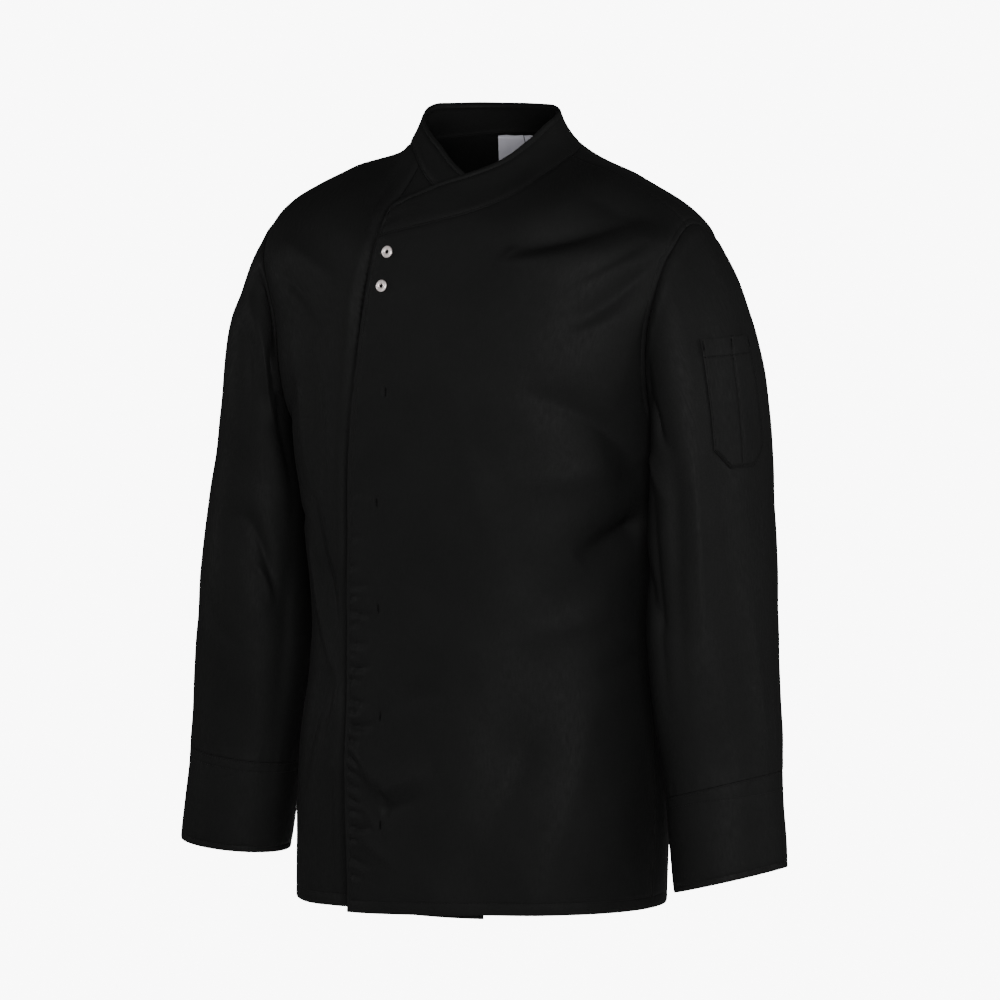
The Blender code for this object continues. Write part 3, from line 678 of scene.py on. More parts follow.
def front_patch(side):
    if side > 0:
        neck = neckline([0, 1, 4, 6, 8, 10, 12], [0, 1, 2, 3, 4, 5, 6])
        neck_columns, hem = 12, OUTER_HEM
        free_edge = front_edge("outer_x", hem[0].rise, place_on(neck, 0))
    else:
        neck = neckline([0, 3, 5, 7, 9], [14, 13, 12, 11, 10], shift=-2 * math.pi)
        neck_columns, hem = 9, UNDER_HEM
        free_edge = front_edge("under_x", hem[-1].rise, place_on(neck, 0))
    side_edge = side_line(side, back=False)
    corner, tip = place_on(neck, neck_columns), place_on(side_edge, 1)

    def top(s):
        column = s * (neck_columns + SHOULDER_COLUMNS)
        shoulder = mixed(corner, tip)((column - neck_columns) / SHOULDER_COLUMNS)
        in_neck = (column < neck_columns)[..., None]
        return np.where(in_neck, neck(np.minimum(column, neck_columns)), shoulder)

    ends = place_on(free_edge, 0), place_on(side_edge, 0)
    hem_angles = [math.radians(row.angle) for row in hem]

    def bottom(s):
        place = mixed(*ends)(s)
        place[..., 1] = smooth(hem_angles, [row.rise for row in hem], place[..., 0])
        return place

    return Patch(between(bottom, top, free_edge, side_edge))


def back_patch():
    left = side_line(1, back=True)
    right_side = side_line(-1, back=True)

    def right(u):
        return right_side(u) + np.array([2 * math.pi, 0.0])

    neck = neckline([0, 3, 6, 9, 11], [6, 7, 8, 9, 10])
    left_tip, right_tip = place_on(left, 1), place_on(right, 1)
    first, last = place_on(neck, 0), place_on(neck, BACK_NECK_COLUMNS)
    neck_end = SHOULDER_COLUMNS + BACK_NECK_COLUMNS

    def top(s):
        column = s * (neck_end + SHOULDER_COLUMNS)
        left_part = mixed(left_tip, first)(column / SHOULDER_COLUMNS)
        right_part = mixed(last, right_tip)((column - neck_end) / SHOULDER_COLUMNS)
        middle = neck(np.clip(column - SHOULDER_COLUMNS, 0, BACK_NECK_COLUMNS))
        on_left, on_right = (column < SHOULDER_COLUMNS)[..., None], (column > neck_end)[..., None]
        return np.where(on_left, left_part, np.where(on_right, right_part, middle))

    bottom = mixed(place_on(left, 0), place_on(right, 0))
    return Patch(between(bottom, top, left, right))


def collar_patch():
    def places(s, t):
        at = s * (len(COLLAR_STATIONS) - 1)
        return collar_line(COLLAR_SEAM, at) * (1 - t[..., None]) + collar_line(COLLAR_TOP, at) * t[..., None]

    return Patch(places)


# ---------------------------------------------------------------- edges and seams
# A line of stitches at a distance from a border, from start to end along it (0..1). Its thread draws the
# cloth in by groove, and puckers it by puff.
Stitching = namedtuple("Stitching", "distance start end groove puff", defaults=(0.00045, 0.00020))
Rim = namedtuple("Rim", "roll turned stitching")     # rolled in by roll; turned is a hem's width inside


def steps(rim):
    """Distances from a border that follow its rolled edge and each stitched groove."""
    found = list(EDGE_STEPS)
    for stitching in rim.stitching:
        found += list(stitching.distance + GROOVE_STEPS)
    found.append(max(found) + LAST_STEP)
    return np.array(sorted(set(round(d, 5) for d in found if d >= 0)))


def filled(near, far, count, near_scale, far_scale):
    """Parameters 0..1: distances near and far from the two ends, and count more between them."""
    head = near / np.asarray(near_scale)[..., None]
    tail = 1 - far[::-1] / np.asarray(far_scale)[..., None]
    share = np.linspace(0, 1, count + 2)[1:-1]
    middle = head[..., -1:] * (1 - share) + tail[..., :1] * share
    return np.concatenate([head, middle, tail], axis=-1)


def window(u, start, end):
    return ease(u, start - 0.012, start + 0.002) * (1 - ease(u, end - 0.002, end + 0.012))


def rim_relief(rim, distance, u, length):
    """A rolled edge and its stitched grooves, a little uneven along them."""
    along = u * length
    relief = -rim.roll * hump(distance, GROOVE_WIDTH)
    for stitching in rim.stitching:
        shown = window(u, stitching.start, stitching.end)
        off = distance - stitching.distance
        pull = 1 + 0.35 * np.sin(along / 0.0113 + 1.3 * np.sin(along / 0.037))
        puff = np.sin(along / 0.0037 + 2.0 * np.sin(along / 0.019)) * (0.6 + 0.4 * np.sin(along / 0.031))
        drawn_in = -stitching.groove * pull * hump(off, GROOVE_WIDTH)
        relief = relief + shown * (drawn_in + stitching.puff * puff * hump(off, 0.0045))
    return relief


def grid_faces(rows, columns, closed):
    """Quads of a wall: its outer grid, its inner grid, and the strips that join their borders."""
    across = np.arange(columns if closed else columns - 1)
    row, column = np.meshgrid(np.arange(rows - 1), across, indexing="ij")
    after = (column + 1) % columns
    outer = joined(row * columns + column, row * columns + after,
                   (row + 1) * columns + after, (row + 1) * columns + column).reshape(-1, 4)
    offset = rows * columns
    inner = outer[:, ::-1] + offset
    loop = np.arange(columns + 1) % columns if closed else np.arange(columns)
    borders = [loop, (rows - 1) * columns + loop[::-1]]
    if not closed:
        down = np.arange(rows)
        borders += [down * columns + columns - 1, (down * columns)[::-1]]
    strips = []
    for border in borders:
        first, second = border[:-1], border[1:]
        strips.append(joined(second, first, first + offset, second + offset))
    return np.concatenate([outer, inner] + strips)


def add_mesh(name, vertices, faces, materials, uv=None, face_material=None, sharp=40):
    mesh = bpy.data.meshes.new(name)
    faces = np.asarray(faces)
    corners = faces.shape[1]
    mesh.vertices.add(len(vertices))
    mesh.vertices.foreach_set("co", np.asarray(vertices, np.float32).ravel())
    mesh.loops.add(faces.size)
    mesh.loops.foreach_set("vertex_index", faces.astype(np.int32).ravel())
    mesh.polygons.add(len(faces))
    mesh.polygons.foreach_set("loop_start", np.arange(0, faces.size, corners, dtype=np.int32))
    if uv is not None:
        layer = mesh.uv_layers.new(name="cloth")
        layer.uv.foreach_set("vector", np.asarray(uv, np.float32)[faces.ravel()].ravel())
    for material in materials:
        mesh.materials.append(material)
    if face_material is not None:
        mesh.polygons.foreach_set("material_index", np.asarray(face_material, np.int32))
    mesh.update(calc_edges=True)
    mesh.validate()
    mesh.shade_smooth()
    if sharp:
        mesh.set_sharp_from_angle(angle=math.radians(sharp))
    made = bpy.data.objects.new(name, mesh)
    bpy.context.scene.collection.objects.link(made)
    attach(made, "root")
    return made


def arc_lengths(grid):
    """Lengths along a grid's rows, from its middle column, and up its columns, in metres."""
    across = np.linalg.norm(np.diff(grid, axis=1), axis=-1)
    across = np.concatenate([np.zeros((len(grid), 1)), np.cumsum(across, axis=1)], axis=1)
    across = across - across[:, grid.shape[1] // 2][:, None]
    up = np.linalg.norm(np.diff(grid, axis=0), axis=-1)
    up = np.concatenate([np.zeros((1, grid.shape[1])), np.cumsum(up, axis=0)], axis=0)
    middle = up[:, grid.shape[1] // 2][:, None]
    return joined(across, np.broadcast_to(0.5 * up + 0.5 * middle, across.shape))


def grid_area(grid):
    """Area of a grid's quads."""
    a = grid[1:, 1:] - grid[:-1, :-1]
    b = grid[1:, :-1] - grid[:-1, 1:]
    return float(np.linalg.norm(np.cross(a, b), axis=-1).sum() / 2)


def add_wall(name, outer, normals, thickness, material, closed=False):
    """A cloth wall between an outer grid and its inner one, with its faces made to face out."""
    inner = outer - normals * np.broadcast_to(thickness, outer.shape[:2])[..., None]
    rows, columns = outer.shape[:2]
    faces = grid_faces(rows, columns, closed)
    middle = len(faces) // 3 if closed else (rows // 2) * (columns - 1) + columns // 2
    corner = np.concatenate([outer.reshape(-1, 3), inner.reshape(-1, 3)])
    a, b, c, d = corner[faces[middle]]
    if np.dot(np.cross(c - a, d - b), normals.reshape(-1, 3)[faces[middle][0] % (rows * columns)]) < 0:
        faces = faces[:, ::-1]
    lengths = arc_lengths(outer).reshape(-1, 2)
    return add_mesh(name, corner, faces, [material], uv=np.concatenate([lengths, lengths + 0.37]))


def grid_normals(grid, closed=False):
    across = np.roll(grid, -1, axis=1) - np.roll(grid, 1, axis=1)
    if not closed:
        across[:, 0] = grid[:, 1] - grid[:, 0]
        across[:, -1] = grid[:, -1] - grid[:, -2]
    up = np.empty_like(grid)
    up[1:-1] = grid[2:] - grid[:-2]
    up[0], up[-1] = grid[1] - grid[0], grid[-1] - grid[-2]
    return unit(np.cross(across, up))


def facing_out(directions, normals):
    return directions * np.sign(np.sum(directions * normals, axis=-1, keepdims=True))


def pull_in(grid, closed=False):
    """Moves a grid's borders half a seam gap towards its own middle."""
    grid = grid.copy()
    half = SEAM_GAP / 2
    grid[0] += unit(grid[1] - grid[0]) * half
    grid[-1] += unit(grid[-2] - grid[-1]) * half
    if not closed:
        grid[:, 0] += unit(grid[:, 1] - grid[:, 0]) * half
        grid[:, -1] += unit(grid[:, -2] - grid[:, -1]) * half
    return grid


# ---------------------------------------------------------------- thread
THREADS = {}                  # stitches by the piece that they are sewn through
BARS = {}                     # bartacks too


def sew(piece, points, normals, pitch=STITCH_PITCH, length=STITCH_LENGTH, radius=THREAD_RADIUS):
    """Stitches along a line of points."""
    legs = np.linalg.norm(np.diff(points, axis=0), axis=-1)
    arc = np.concatenate([[0], np.cumsum(legs)])
    count = int(arc[-1] / pitch)
    if count < 1:
        return
    starts = (arc[-1] - count * pitch) / 2 + (pitch - length) / 2 + np.arange(count) * pitch
    rings = []
    for share in (0.0, 0.5, 1.0):
        at = starts + share * length
        point, normal = (
            joined(*(np.interp(at, arc, column) for column in part.T)) for part in (points, normals)
        )
        rings.append((point, unit(normal)))
    THREADS.setdefault(piece, []).append((rings, radius))


def bar(piece, centre, normal, along, length, width, strokes=11):
    """A bartack: short threads laid side by side across a bar."""
    along = unit(along - normal * np.dot(along, normal))
    across = np.cross(normal, along)
    for k in range(strokes):
        offset = (k / (strokes - 1) - 0.5) * length
        middle = centre + along * offset + normal * 0.00015
        lean = along * (0.0003 if k % 2 else -0.0003)
        ends = [middle - across * width / 2 - lean, middle + across * width / 2 + lean]
        rings = [(np.array([p]), np.array([normal])) for p in (ends[0], middle + normal * 0.00012, ends[1])]
        BARS.setdefault(piece, []).append((rings, BAR_RADIUS))


def thread_mesh(name, stitches, material):
    """All the stitches of a piece: four-sided, thickest and highest in their middles."""
    vertices, faces = [], []
    base = 0
    for rings, radius in stitches:
        points = np.stack([point for point, _ in rings])          # 3, n, 3
        normals = np.stack([normal for _, normal in rings])
        direction = unit(points[2] - points[0])
        side = unit(np.cross(direction, normals[1]))
        count = points.shape[1]
        for ring, size, lift in ((0, 0.45, -0.10), (1, 1.0, 0.55), (2, 0.45, -0.10)):
            centre = points[ring] + normals[ring] * lift * radius
            for a, b in ((1, 0), (0, 1), (-1, 0), (0, -1)):
                vertices.append(centre + (side * a + normals[ring] * b) * radius * size)
        # the vertices of one corner follow each other, a stitch each
        corner = [base + k * count + np.arange(count) for k in range(12)]
        for k in range(8):
            after = k // 4 * 4 + (k + 1) % 4
            faces.append(joined(corner[k], corner[after], corner[after + 4], corner[k + 4]))
        faces += [joined(*corner[3::-1]), joined(*corner[8:])]
        base += 12 * count
    return add_mesh(name, np.concatenate(vertices), np.concatenate(faces), [material], sharp=0)


# ---------------------------------------------------------------- pieces
BORDERS = ("left", "right", "bottom", "top")
Spot = namedtuple("Spot", "s t distance points angle")     # of a panel's grid, for its own folds
HEM_FOLD = 0.0006             # half the width over which a hem's turned cloth ends
HEM_EXTRA = 0.0007            # thickness that it adds


def torso_panel(name, patch, rims, columns, rows, material, wall=CLOTH, inset=None, extra=None):
    """Makes one panel of the torso, and sews it. rims gives a Rim for left, right, bottom and top."""
    rims = dict(zip(BORDERS, rims))
    near = {key: steps(rim) for key, rim in rims.items()}
    mean = {key: float(np.mean(value)) for key, value in patch.speed.items()}
    s_middle = filled(near["left"], near["right"], columns, mean["left"], mean["right"])
    t_middle = filled(near["bottom"], near["top"], rows, mean["bottom"], mean["top"])
    s = filled(near["left"], near["right"], columns, patch.at("left", t_middle), patch.at("right", t_middle))
    t = filled(near["bottom"], near["top"], rows, patch.at("bottom", s_middle), patch.at("top", s_middle)).T
    angle, run = np.moveaxis(patch.places(s, t), -1, 0)
    points, normals = torso(angle, run, inset(angle) if inset else 0.0)
    distance = {
        "left": s * patch.at("left", t), "right": (1 - s) * patch.at("right", t),
        "bottom": t * patch.at("bottom", s), "top": (1 - t) * patch.at("top", s),
    }
    thickness = np.full(s.shape, wall)
    relief = np.zeros(s.shape)
    for key, rim in rims.items():
        upright = key in ("left", "right")
        relief += rim_relief(rim, distance[key], t if upright else s, mean["bottom" if upright else "left"])
        if rim.turned:
            past = ease(distance[key], rim.turned - HEM_FOLD, rim.turned + HEM_FOLD)
            thickness += HEM_EXTRA * (1 - past)
    if extra:
        relief += extra(Spot(s, t, distance, points, angle))
    points = points + normals * relief[..., None]
    shown = facing_out(grid_normals(points), normals)
    outer = pull_in(points)
    made = add_wall(name, outer, normals, thickness, material)
    for key, rim in rims.items():
        for stitching in rim.stitching:
            k = int(np.argmin(np.abs(near[key] - stitching.distance)))
            k = k if key in ("left", "bottom") else -1 - k
            line = (slice(None), k) if key in ("left", "right") else (k, slice(None))
            along = t[line] if key in ("left", "right") else s[line]
            keep = (along >= stitching.start) & (along <= stitching.end)
            sew(name, outer[line][keep], shown[line][keep])
    return made, grid_area(patch.bare(s, t))


def arm_ring(side, turn, along):
    arm = table(ARM_RINGS, "along", along)
    tilt = BICEP_TILT + (CUFF_TILT[side] - BICEP_TILT) * along / CUFF_END_ALONG
    out = arm.half_width * np.sign(np.cos(turn)) * np.abs(np.cos(turn)) ** (2 / arm.power)
    forward = arm.half_depth * np.sign(np.sin(turn)) * np.abs(np.sin(turn)) ** (2 / arm.power)
    return joined(side * (arm.x + out), arm.y - forward, arm.z + out * np.tan(tilt))


def sleeve_cap(side, turn, t):
    """A point of the sleeve between the armhole (t 0) and the ring below the armpit (t 1)."""
    start, _ = torso(*np.moveaxis(armhole(side, turn), -1, 0))
    end = arm_ring(side, turn, np.zeros_like(turn))
    below = arm_ring(side, turn, np.full_like(turn, SMALL_STEP))
    under = (1 - np.cos(turn)) / 2
    out, down = (top + (armpit - top) * under for top, armpit in zip(CAP_LEAVES_TOP, CAP_LEAVES_ARMPIT))
    leave = unit(joined(side * out, -CAP_LEAVES_FORWARD * np.sin(turn), -down))
    reach = np.linalg.norm(end - start, axis=-1, keepdims=True)
    first = start + leave * reach * CAP_START_PULL
    second = end - unit(below - end) * reach * CAP_END_PULL
    t = t[..., None]
    return start * (1 - t) ** 3 + first * 3 * t * (1 - t) ** 2 + second * 3 * t * t * (1 - t) + end * t ** 3


def tube_relief(side, turn, points):
    relief = fold_relief(SLEEVE_FOLDS[side], SLEEVE_RADIUS, turn, points[..., 2])
    relief = relief + crease_relief(SLEEVE_CREASES[side], SLEEVE_RADIUS, turn, points[..., 2])
    return relief + wave_relief(points)


def outward(side, grid):
    """Directions out of a tube whose columns run round it and whose rows run down it."""
    return grid_normals(grid, closed=True) * side


def tube_turns(count):
    return np.linspace(0, 2 * math.pi, count, endpoint=False)


def tube(side, name, material, grid, relief, thickness, top_normals=None):
    """A wall round a tube's grid, raised by relief. Also gives its outer face, normals and flat area."""
    points = grid + outward(side, grid) * relief[..., None]
    normals = outward(side, points)
    if top_normals is not None:
        normals[0] = top_normals
    outer = pull_in(points, closed=True)
    made = add_wall(name, outer, normals, thickness, material, closed=True)
    return made, outer, normals, grid_area(np.concatenate([grid, grid[:, :1]], axis=1))


def sleeve(side, name, material, columns=170, cap_rows=74, arm_rows=96):
    turns = tube_turns(columns)
    first = sleeve_cap(side, turns, np.zeros(columns))
    second = sleeve_cap(side, turns, np.full(columns, SMALL_STEP))
    speed = np.linalg.norm(second - first, axis=-1) / SMALL_STEP
    near = np.array(EDGE_STEPS + (0.0034,))
    head = near[:, None] / speed
    share = np.linspace(0, 1, cap_rows + 1)[1:, None]
    cap_t = np.concatenate([head, head[-1:] * (1 - share) + share])
    cap = sleeve_cap(side, np.broadcast_to(turns, cap_t.shape), cap_t)
    far = CUFF_SEAM_ALONG - near[::-1]
    along = np.concatenate([np.linspace(0, far[0], arm_rows + 1)[1:-1], far])
    arm_turn, arm_along = np.meshgrid(turns, along)
    grid = np.concatenate([cap, arm_ring(side, arm_turn, arm_along)])
    turn = np.broadcast_to(turns, grid.shape[:2])
    from_armhole = np.concatenate([cap_t * speed, np.full(arm_turn.shape, 1.0)])
    from_cuff = np.concatenate([np.full(cap_t.shape, 1.0), CUFF_SEAM_ALONG - arm_along])
    puff = np.sin(turn * 37 + 2 * np.sin(turn * 7)) * hump(from_armhole - 0.006, 0.006)
    relief = tube_relief(side, turn, grid) * ease(from_armhole, 0.0, 0.016)
    relief += 0.0003 * puff * ease(from_armhole, 0.0, 0.003)
    relief += 0.0010 * hump(from_armhole - 0.009, 0.006) * (0.6 + 0.4 * np.cos(turn))
    relief -= 0.0006 * hump(from_armhole, 0.0013) + 0.0001 * hump(from_cuff, 0.0012)
    relief += 0.0004 * np.sin(turn * 23 + 3) * np.sin(turn * 5) * hump(from_cuff - 0.006, 0.009)
    _, top_normals = torso(*np.moveaxis(armhole(side, turns), -1, 0))
    made, _, _, area = tube(side, name, material, grid, relief, CLOTH, top_normals)
    return made, area


def cuff(side, name, material, columns=150, rows=30):
    """A deep cuff: topstitched at its seam, stitched once more below it, and hemmed near its end."""
    depth = CUFF_END_ALONG - CUFF_SEAM_ALONG
    turns = tube_turns(columns)
    seam_line, hem_line = 0.0020, depth - CUFF_STITCH
    second_line = 0.0115 + 0.0065 * np.clip(np.cos(turns), 0, 1) if side > 0 else np.full(columns, 0.0105)
    head = np.array([*EDGE_STEPS[:3], *(seam_line + 0.0006 * np.arange(-1, 3))])
    tail = np.array([*(hem_line + GROOVE_STEPS), *(depth - np.array(EDGE_STEPS[::-1]))])
    head, tail = (np.broadcast_to(part[:, None], (len(part), columns)) for part in (head, tail))
    around = second_line + GROOVE_STEPS[:, None]
    upper = head[-1] + (around[0] - head[-1]) * np.linspace(0, 1, 5)[1:-1, None]
    lower = around[-1] + (tail[0] - around[-1]) * np.linspace(0, 1, rows)[1:-1, None]
    down = np.concatenate([head, upper, around, lower, tail])
    turn = np.broadcast_to(turns, down.shape)
    grid = arm_ring(side, turn, CUFF_SEAM_ALONG + down)
    relief = tube_relief(side, turn, grid) + CUFF_FLARE * ease(down, 0.0, depth)
    pull = 1 + 0.60 * np.sin(turn * 0.06 / 0.0097 + 1.7 * np.sin(turn * 3))
    puff = np.sin(turn * 41 + 2 * np.sin(turn * 6))
    for line, groove in ((seam_line, 0.00012), (second_line, 0.00012), (hem_line, 0.00045)):
        relief -= groove * pull * hump(down - line, GROOVE_WIDTH)
        relief += 0.00016 * puff * hump(down - line, 0.004)
    relief -= 0.0001 * hump(down, 0.0012) + 0.0005 * hump(depth - down, 0.0010)
    thickness = 0.0014 + 0.0009 * ease(down, hem_line - 0.0005, hem_line + 0.0005)
    made, outer, normals, area = tube(side, name, material, grid, relief, thickness)
    # the rows of seam_line, second_line and hem_line
    for row in (len(head) - 3, len(head) + len(upper) + 2, len(down) - 7):
        sew(name, *(np.concatenate([part[row], part[row][:1]]) for part in (outer, normals)))
    return made, area


def on_sleeve(side, turn, t):
    """A place on the finished sleeve's cap: the point, and the direction out."""
    turn, t = np.broadcast_arrays(np.asarray(turn, float), np.asarray(t, float))
    point = sleeve_cap(side, turn, t)
    step = 1e-3
    round_it = sleeve_cap(side, turn + step, t) - sleeve_cap(side, turn - step, t)
    down = sleeve_cap(side, turn, t + step) - sleeve_cap(side, turn, t - step)
    normal = unit(np.cross(round_it, down)) * side
    return point + normal * tube_relief(side, turn, point)[..., None], normal


def pen_pocket(name, material):
    """Two pen slots: a hemmed patch with a stitched division and bartacks along its mouth."""
    hem, edge, radius, proud = 0.0170, 0.0020, 0.075, 0.0010
    knots = np.arange(len(POCKET_OUTLINE))
    top, bottom = POCKET_OUTLINE[0].z, POCKET_OUTLINE[-1].z
    levels = np.concatenate([np.linspace(0, 1, 26), np.linspace(1, 2, 24)[1:], np.linspace(2, 3, 12)[1:]])
    z = np.concatenate([
        np.interp(levels, knots, [row.z for row in POCKET_OUTLINE]),
        top - hem + 0.0006 * np.arange(-2, 3),
        top - np.array([0.0004, 0.001]), bottom + np.array([0.0004, 0.001, edge]),
    ])
    z = np.array(sorted(set(np.round(z, 5))))[::-1]
    level = np.interp(-z, [-row.z for row in POCKET_OUTLINE], knots)
    front = np.interp(level, knots, [row.front_turn for row in POCKET_OUTLINE])
    back = np.interp(level, knots, [row.back_turn for row in POCKET_OUTLINE])
    width = np.radians(front - back) * radius
    division = np.interp(z, [-0.296, -0.172], [16.0, 11.0])
    share = np.array([0, 0.0004, 0.0010, 0.0015, edge, 0.0026, 0.0036])
    columns = []
    for i in range(len(z)):
        ends = share / width[i]
        middle = (division[i] - back[i]) / (front[i] - back[i]) + GROOVE_STEPS / width[i]
        first = np.linspace(ends[-1], middle[0], 12)[1:-1]
        second = np.linspace(middle[-1], 1 - ends[-1], 15)[1:-1]
        columns.append(np.concatenate([ends, first, middle, second, 1 - ends[::-1]]))
    u = np.array(columns)
    turn = np.radians(back[:, None] + (front - back)[:, None] * u)
    samples = np.radians(np.linspace(-10, 50, 31))
    t = np.linspace(0, 1, 160)
    heights = sleeve_cap(1, *np.meshgrid(samples, t, indexing="ij"))[..., 2]
    at_height = np.array([np.interp(-z, -column, t) for column in heights])
    cap_t = np.array([np.interp(turn[i], samples, at_height[:, i]) for i in range(len(z))])
    base, normals = on_sleeve(1, turn, cap_t)
    z, width, division = (np.broadcast_to(column[:, None], u.shape) for column in (z, width, division))
    across = u * width
    sides = np.minimum(across, width - across)
    above = top - z
    rim = np.minimum(sides, z - bottom)
    relief = 0.0004 + 0.0016 * (1 - hump(rim, 0.0016))
    relief += 0.0009 * hump(above, 0.006) * np.sin(np.pi * np.clip(sides / 0.016, 0, 1) / 2)
    relief -= 0.0006 * hump(rim - edge, 0.0009)
    relief -= 0.0011 * hump(np.radians(division - np.degrees(turn)) * radius, 0.0013)
    relief += 0.0004 * (1 - ease(above, hem - 0.0003, hem + 0.0003)) - 0.0004 * hump(above - hem, 0.0009)
    relief += 0.00012 * np.sin(z / 0.0011 + 2 * np.sin(z / 0.009)) * hump(rim, 0.006)
    outer = base + normals * (relief + proud)[..., None]
    shown = facing_out(grid_normals(outer), normals)
    made = add_wall(name, outer, normals, np.minimum(relief + proud - 0.0003, 0.0011), material)
    sewn_columns = (4, 19, u.shape[1] - 5)     # along both edges, and in the division's middle
    for column in sewn_columns:
        sew(name, outer[:, column], shown[:, column])
    for height in (top - hem, bottom + edge):
        row = int(np.argmin(np.abs(z[:, 0] - height)))
        sew(name, outer[row], shown[row])
    for column in sewn_columns:
        down = outer[7, column] - outer[3, column]
        bar(name, outer[3, column] + down / 2, shown[3, column], down, *POCKET_BAR)
    return made, grid_area(base)


def ring_snap(name, place, metal, dark, count=48):
    """A ring snap: a rolled ring, its inner lip, and the cloth dimpled in its open middle."""
    angle = np.array(math.radians(place.angle))
    centre, normal = torso(angle, np.array(run_at_height([float(angle)], [place.z])[0]))
    right = unit(np.cross(normal, [0.0, 0.0, 1.0]))
    up = np.cross(right, normal)
    ring = []
    for k in range(15):
        spin = math.pi * k / 14
        ring.append((0.00400 + 0.00180 * math.cos(spin), 0.00035 + 0.00135 * math.sin(spin) ** 0.8))
    lip = [(0.00220, 0.00030), (0.00215, 0.00062), (0.00205, 0.00070), (0.00196, 0.00060), (0.00192, 0.00012)]
    cup = [(0.00190, 0.00020), (0.00140, 0.00034), (0.00070, 0.00045), (0.00001, 0.00048)]
    spins = 2 * math.pi * np.arange(count) / count
    out = np.cos(spins)[:, None] * right + np.sin(spins)[:, None] * up
    j = np.arange(count)
    after = (j + 1) % count
    vertices, faces, slots = [], [], []
    for profile, slot in ((ring, 0), (lip, 0), (cup, 1)):
        start = sum(len(part) for part in vertices)
        loop = profile + [(profile[-1][0], 0.0), (profile[0][0], 0.0)]
        grid = [centre + out * radius + normal * (PROUD_GAP + rise) for radius, rise in loop]
        vertices.append(np.concatenate(grid))
        for k in range(len(loop)):
            a, b = start + k * count, start + (k + 1) % len(loop) * count
            faces.append(joined(a + j, b + j, b + after, a + after))
            slots += [slot] * count
    return add_mesh(name, np.concatenate(vertices), np.concatenate(faces), [metal, dark],
                    face_material=slots, sharp=35)


def label(name, size, material):
    """A bare satin tab, folded over at its top and sewn along it, its free end curling a little."""
    wall = 0.00045
    x = np.linspace(size.x0, size.x1, 41)
    below_top = [0, 0.0004, 0.0010, 0.0016, 0.0022, 0.0030, *np.linspace(0.0036, size.height, 30)]
    angle, height = np.meshgrid(math.pi - x / LABEL_RADIUS, size.top_z - np.array(below_top))
    run = np.array([run_at_height(row, heights) for row, heights in zip(angle, height)])
    points, normals = torso(angle, run)
    across = (np.linspace(0, 1, 41) - 0.5)[None, :]
    down = (size.top_z - height) / size.height
    lift = LABEL_GAP + 0.0016 + 0.0022 * down ** 2 * (0.6 + 1.6 * across ** 2)
    lift += 0.0004 * np.sin(across * 9 + down * 4)
    lift -= 0.0004 * hump(size.top_z - height - 0.0016, 0.0007)
    outer = points - normals * lift[..., None]
    made = add_wall(name, outer, normals, wall, material)
    facing = outer - normals * wall
    sew(name, facing[3, 1:-1], -normals[3, 1:-1], pitch=0.0024, length=0.0018, radius=0.00016)
    return made, grid_area(outer)


# ---------------------------------------------------------------- materials
def nodes_of(name):
    material = bpy.data.materials.new(name)
    material.use_nodes = True
    tree = material.node_tree
    return material, tree, tree.nodes["Principled BSDF"]


def give(node, **values):
    """Sets a node's inputs, with _ for a space in their names, and its other properties."""
    for key, value in values.items():
        words = key.replace("_", " ")
        if words in node.inputs.keys():
            node.inputs[words].default_value = value
        else:
            setattr(node, key, value)
    return node


def feed(tree, node, **sources):
    """Links sockets to a node's inputs, with _ for a space in their names."""
    for key, source in sources.items():
        tree.links.new(source, node.inputs[key.replace("_", " ")])
    return node


def add_node(tree, kind, **values):
    return give(tree.nodes.new(kind), **values)


def cloth_place(tree):
    return add_node(tree, "ShaderNodeUVMap", uv_map="cloth").outputs["UV"]


def object_place(tree):
    return tree.nodes.new("ShaderNodeTexCoord").outputs["Object"]


def noise(tree, where, scale, detail, roughness=0.5):
    node = add_node(tree, "ShaderNodeTexNoise", Scale=scale, Detail=detail, Roughness=roughness)
    return feed(tree, node, Vector=where).outputs["Fac"]


def ramp(tree, source, low, high):
    """Takes a noise's usual values to the range from low to high."""
    node = add_node(tree, "ShaderNodeMapRange", From_Min=0.3, From_Max=0.7, To_Min=low, To_Max=high)
    return feed(tree, node, Value=source).outputs["Result"]


def mottle(tree, shader, factor, first, second):
    """Makes the shader's colour run between two."""
    mix = add_node(tree, "ShaderNodeMix", data_type="RGBA", A=(*first, 1), B=(*second, 1))
    feed(tree, shader, Base_Color=feed(tree, mix, Factor=factor).outputs["Result"])


def bump(tree, height, distance, strength, before=None):
    node = feed(tree, add_node(tree, "ShaderNodeBump", Strength=strength, Distance=distance), Height=height)
    if before is not None:
        feed(tree, node, Normal=before)
    return node.outputs["Normal"]


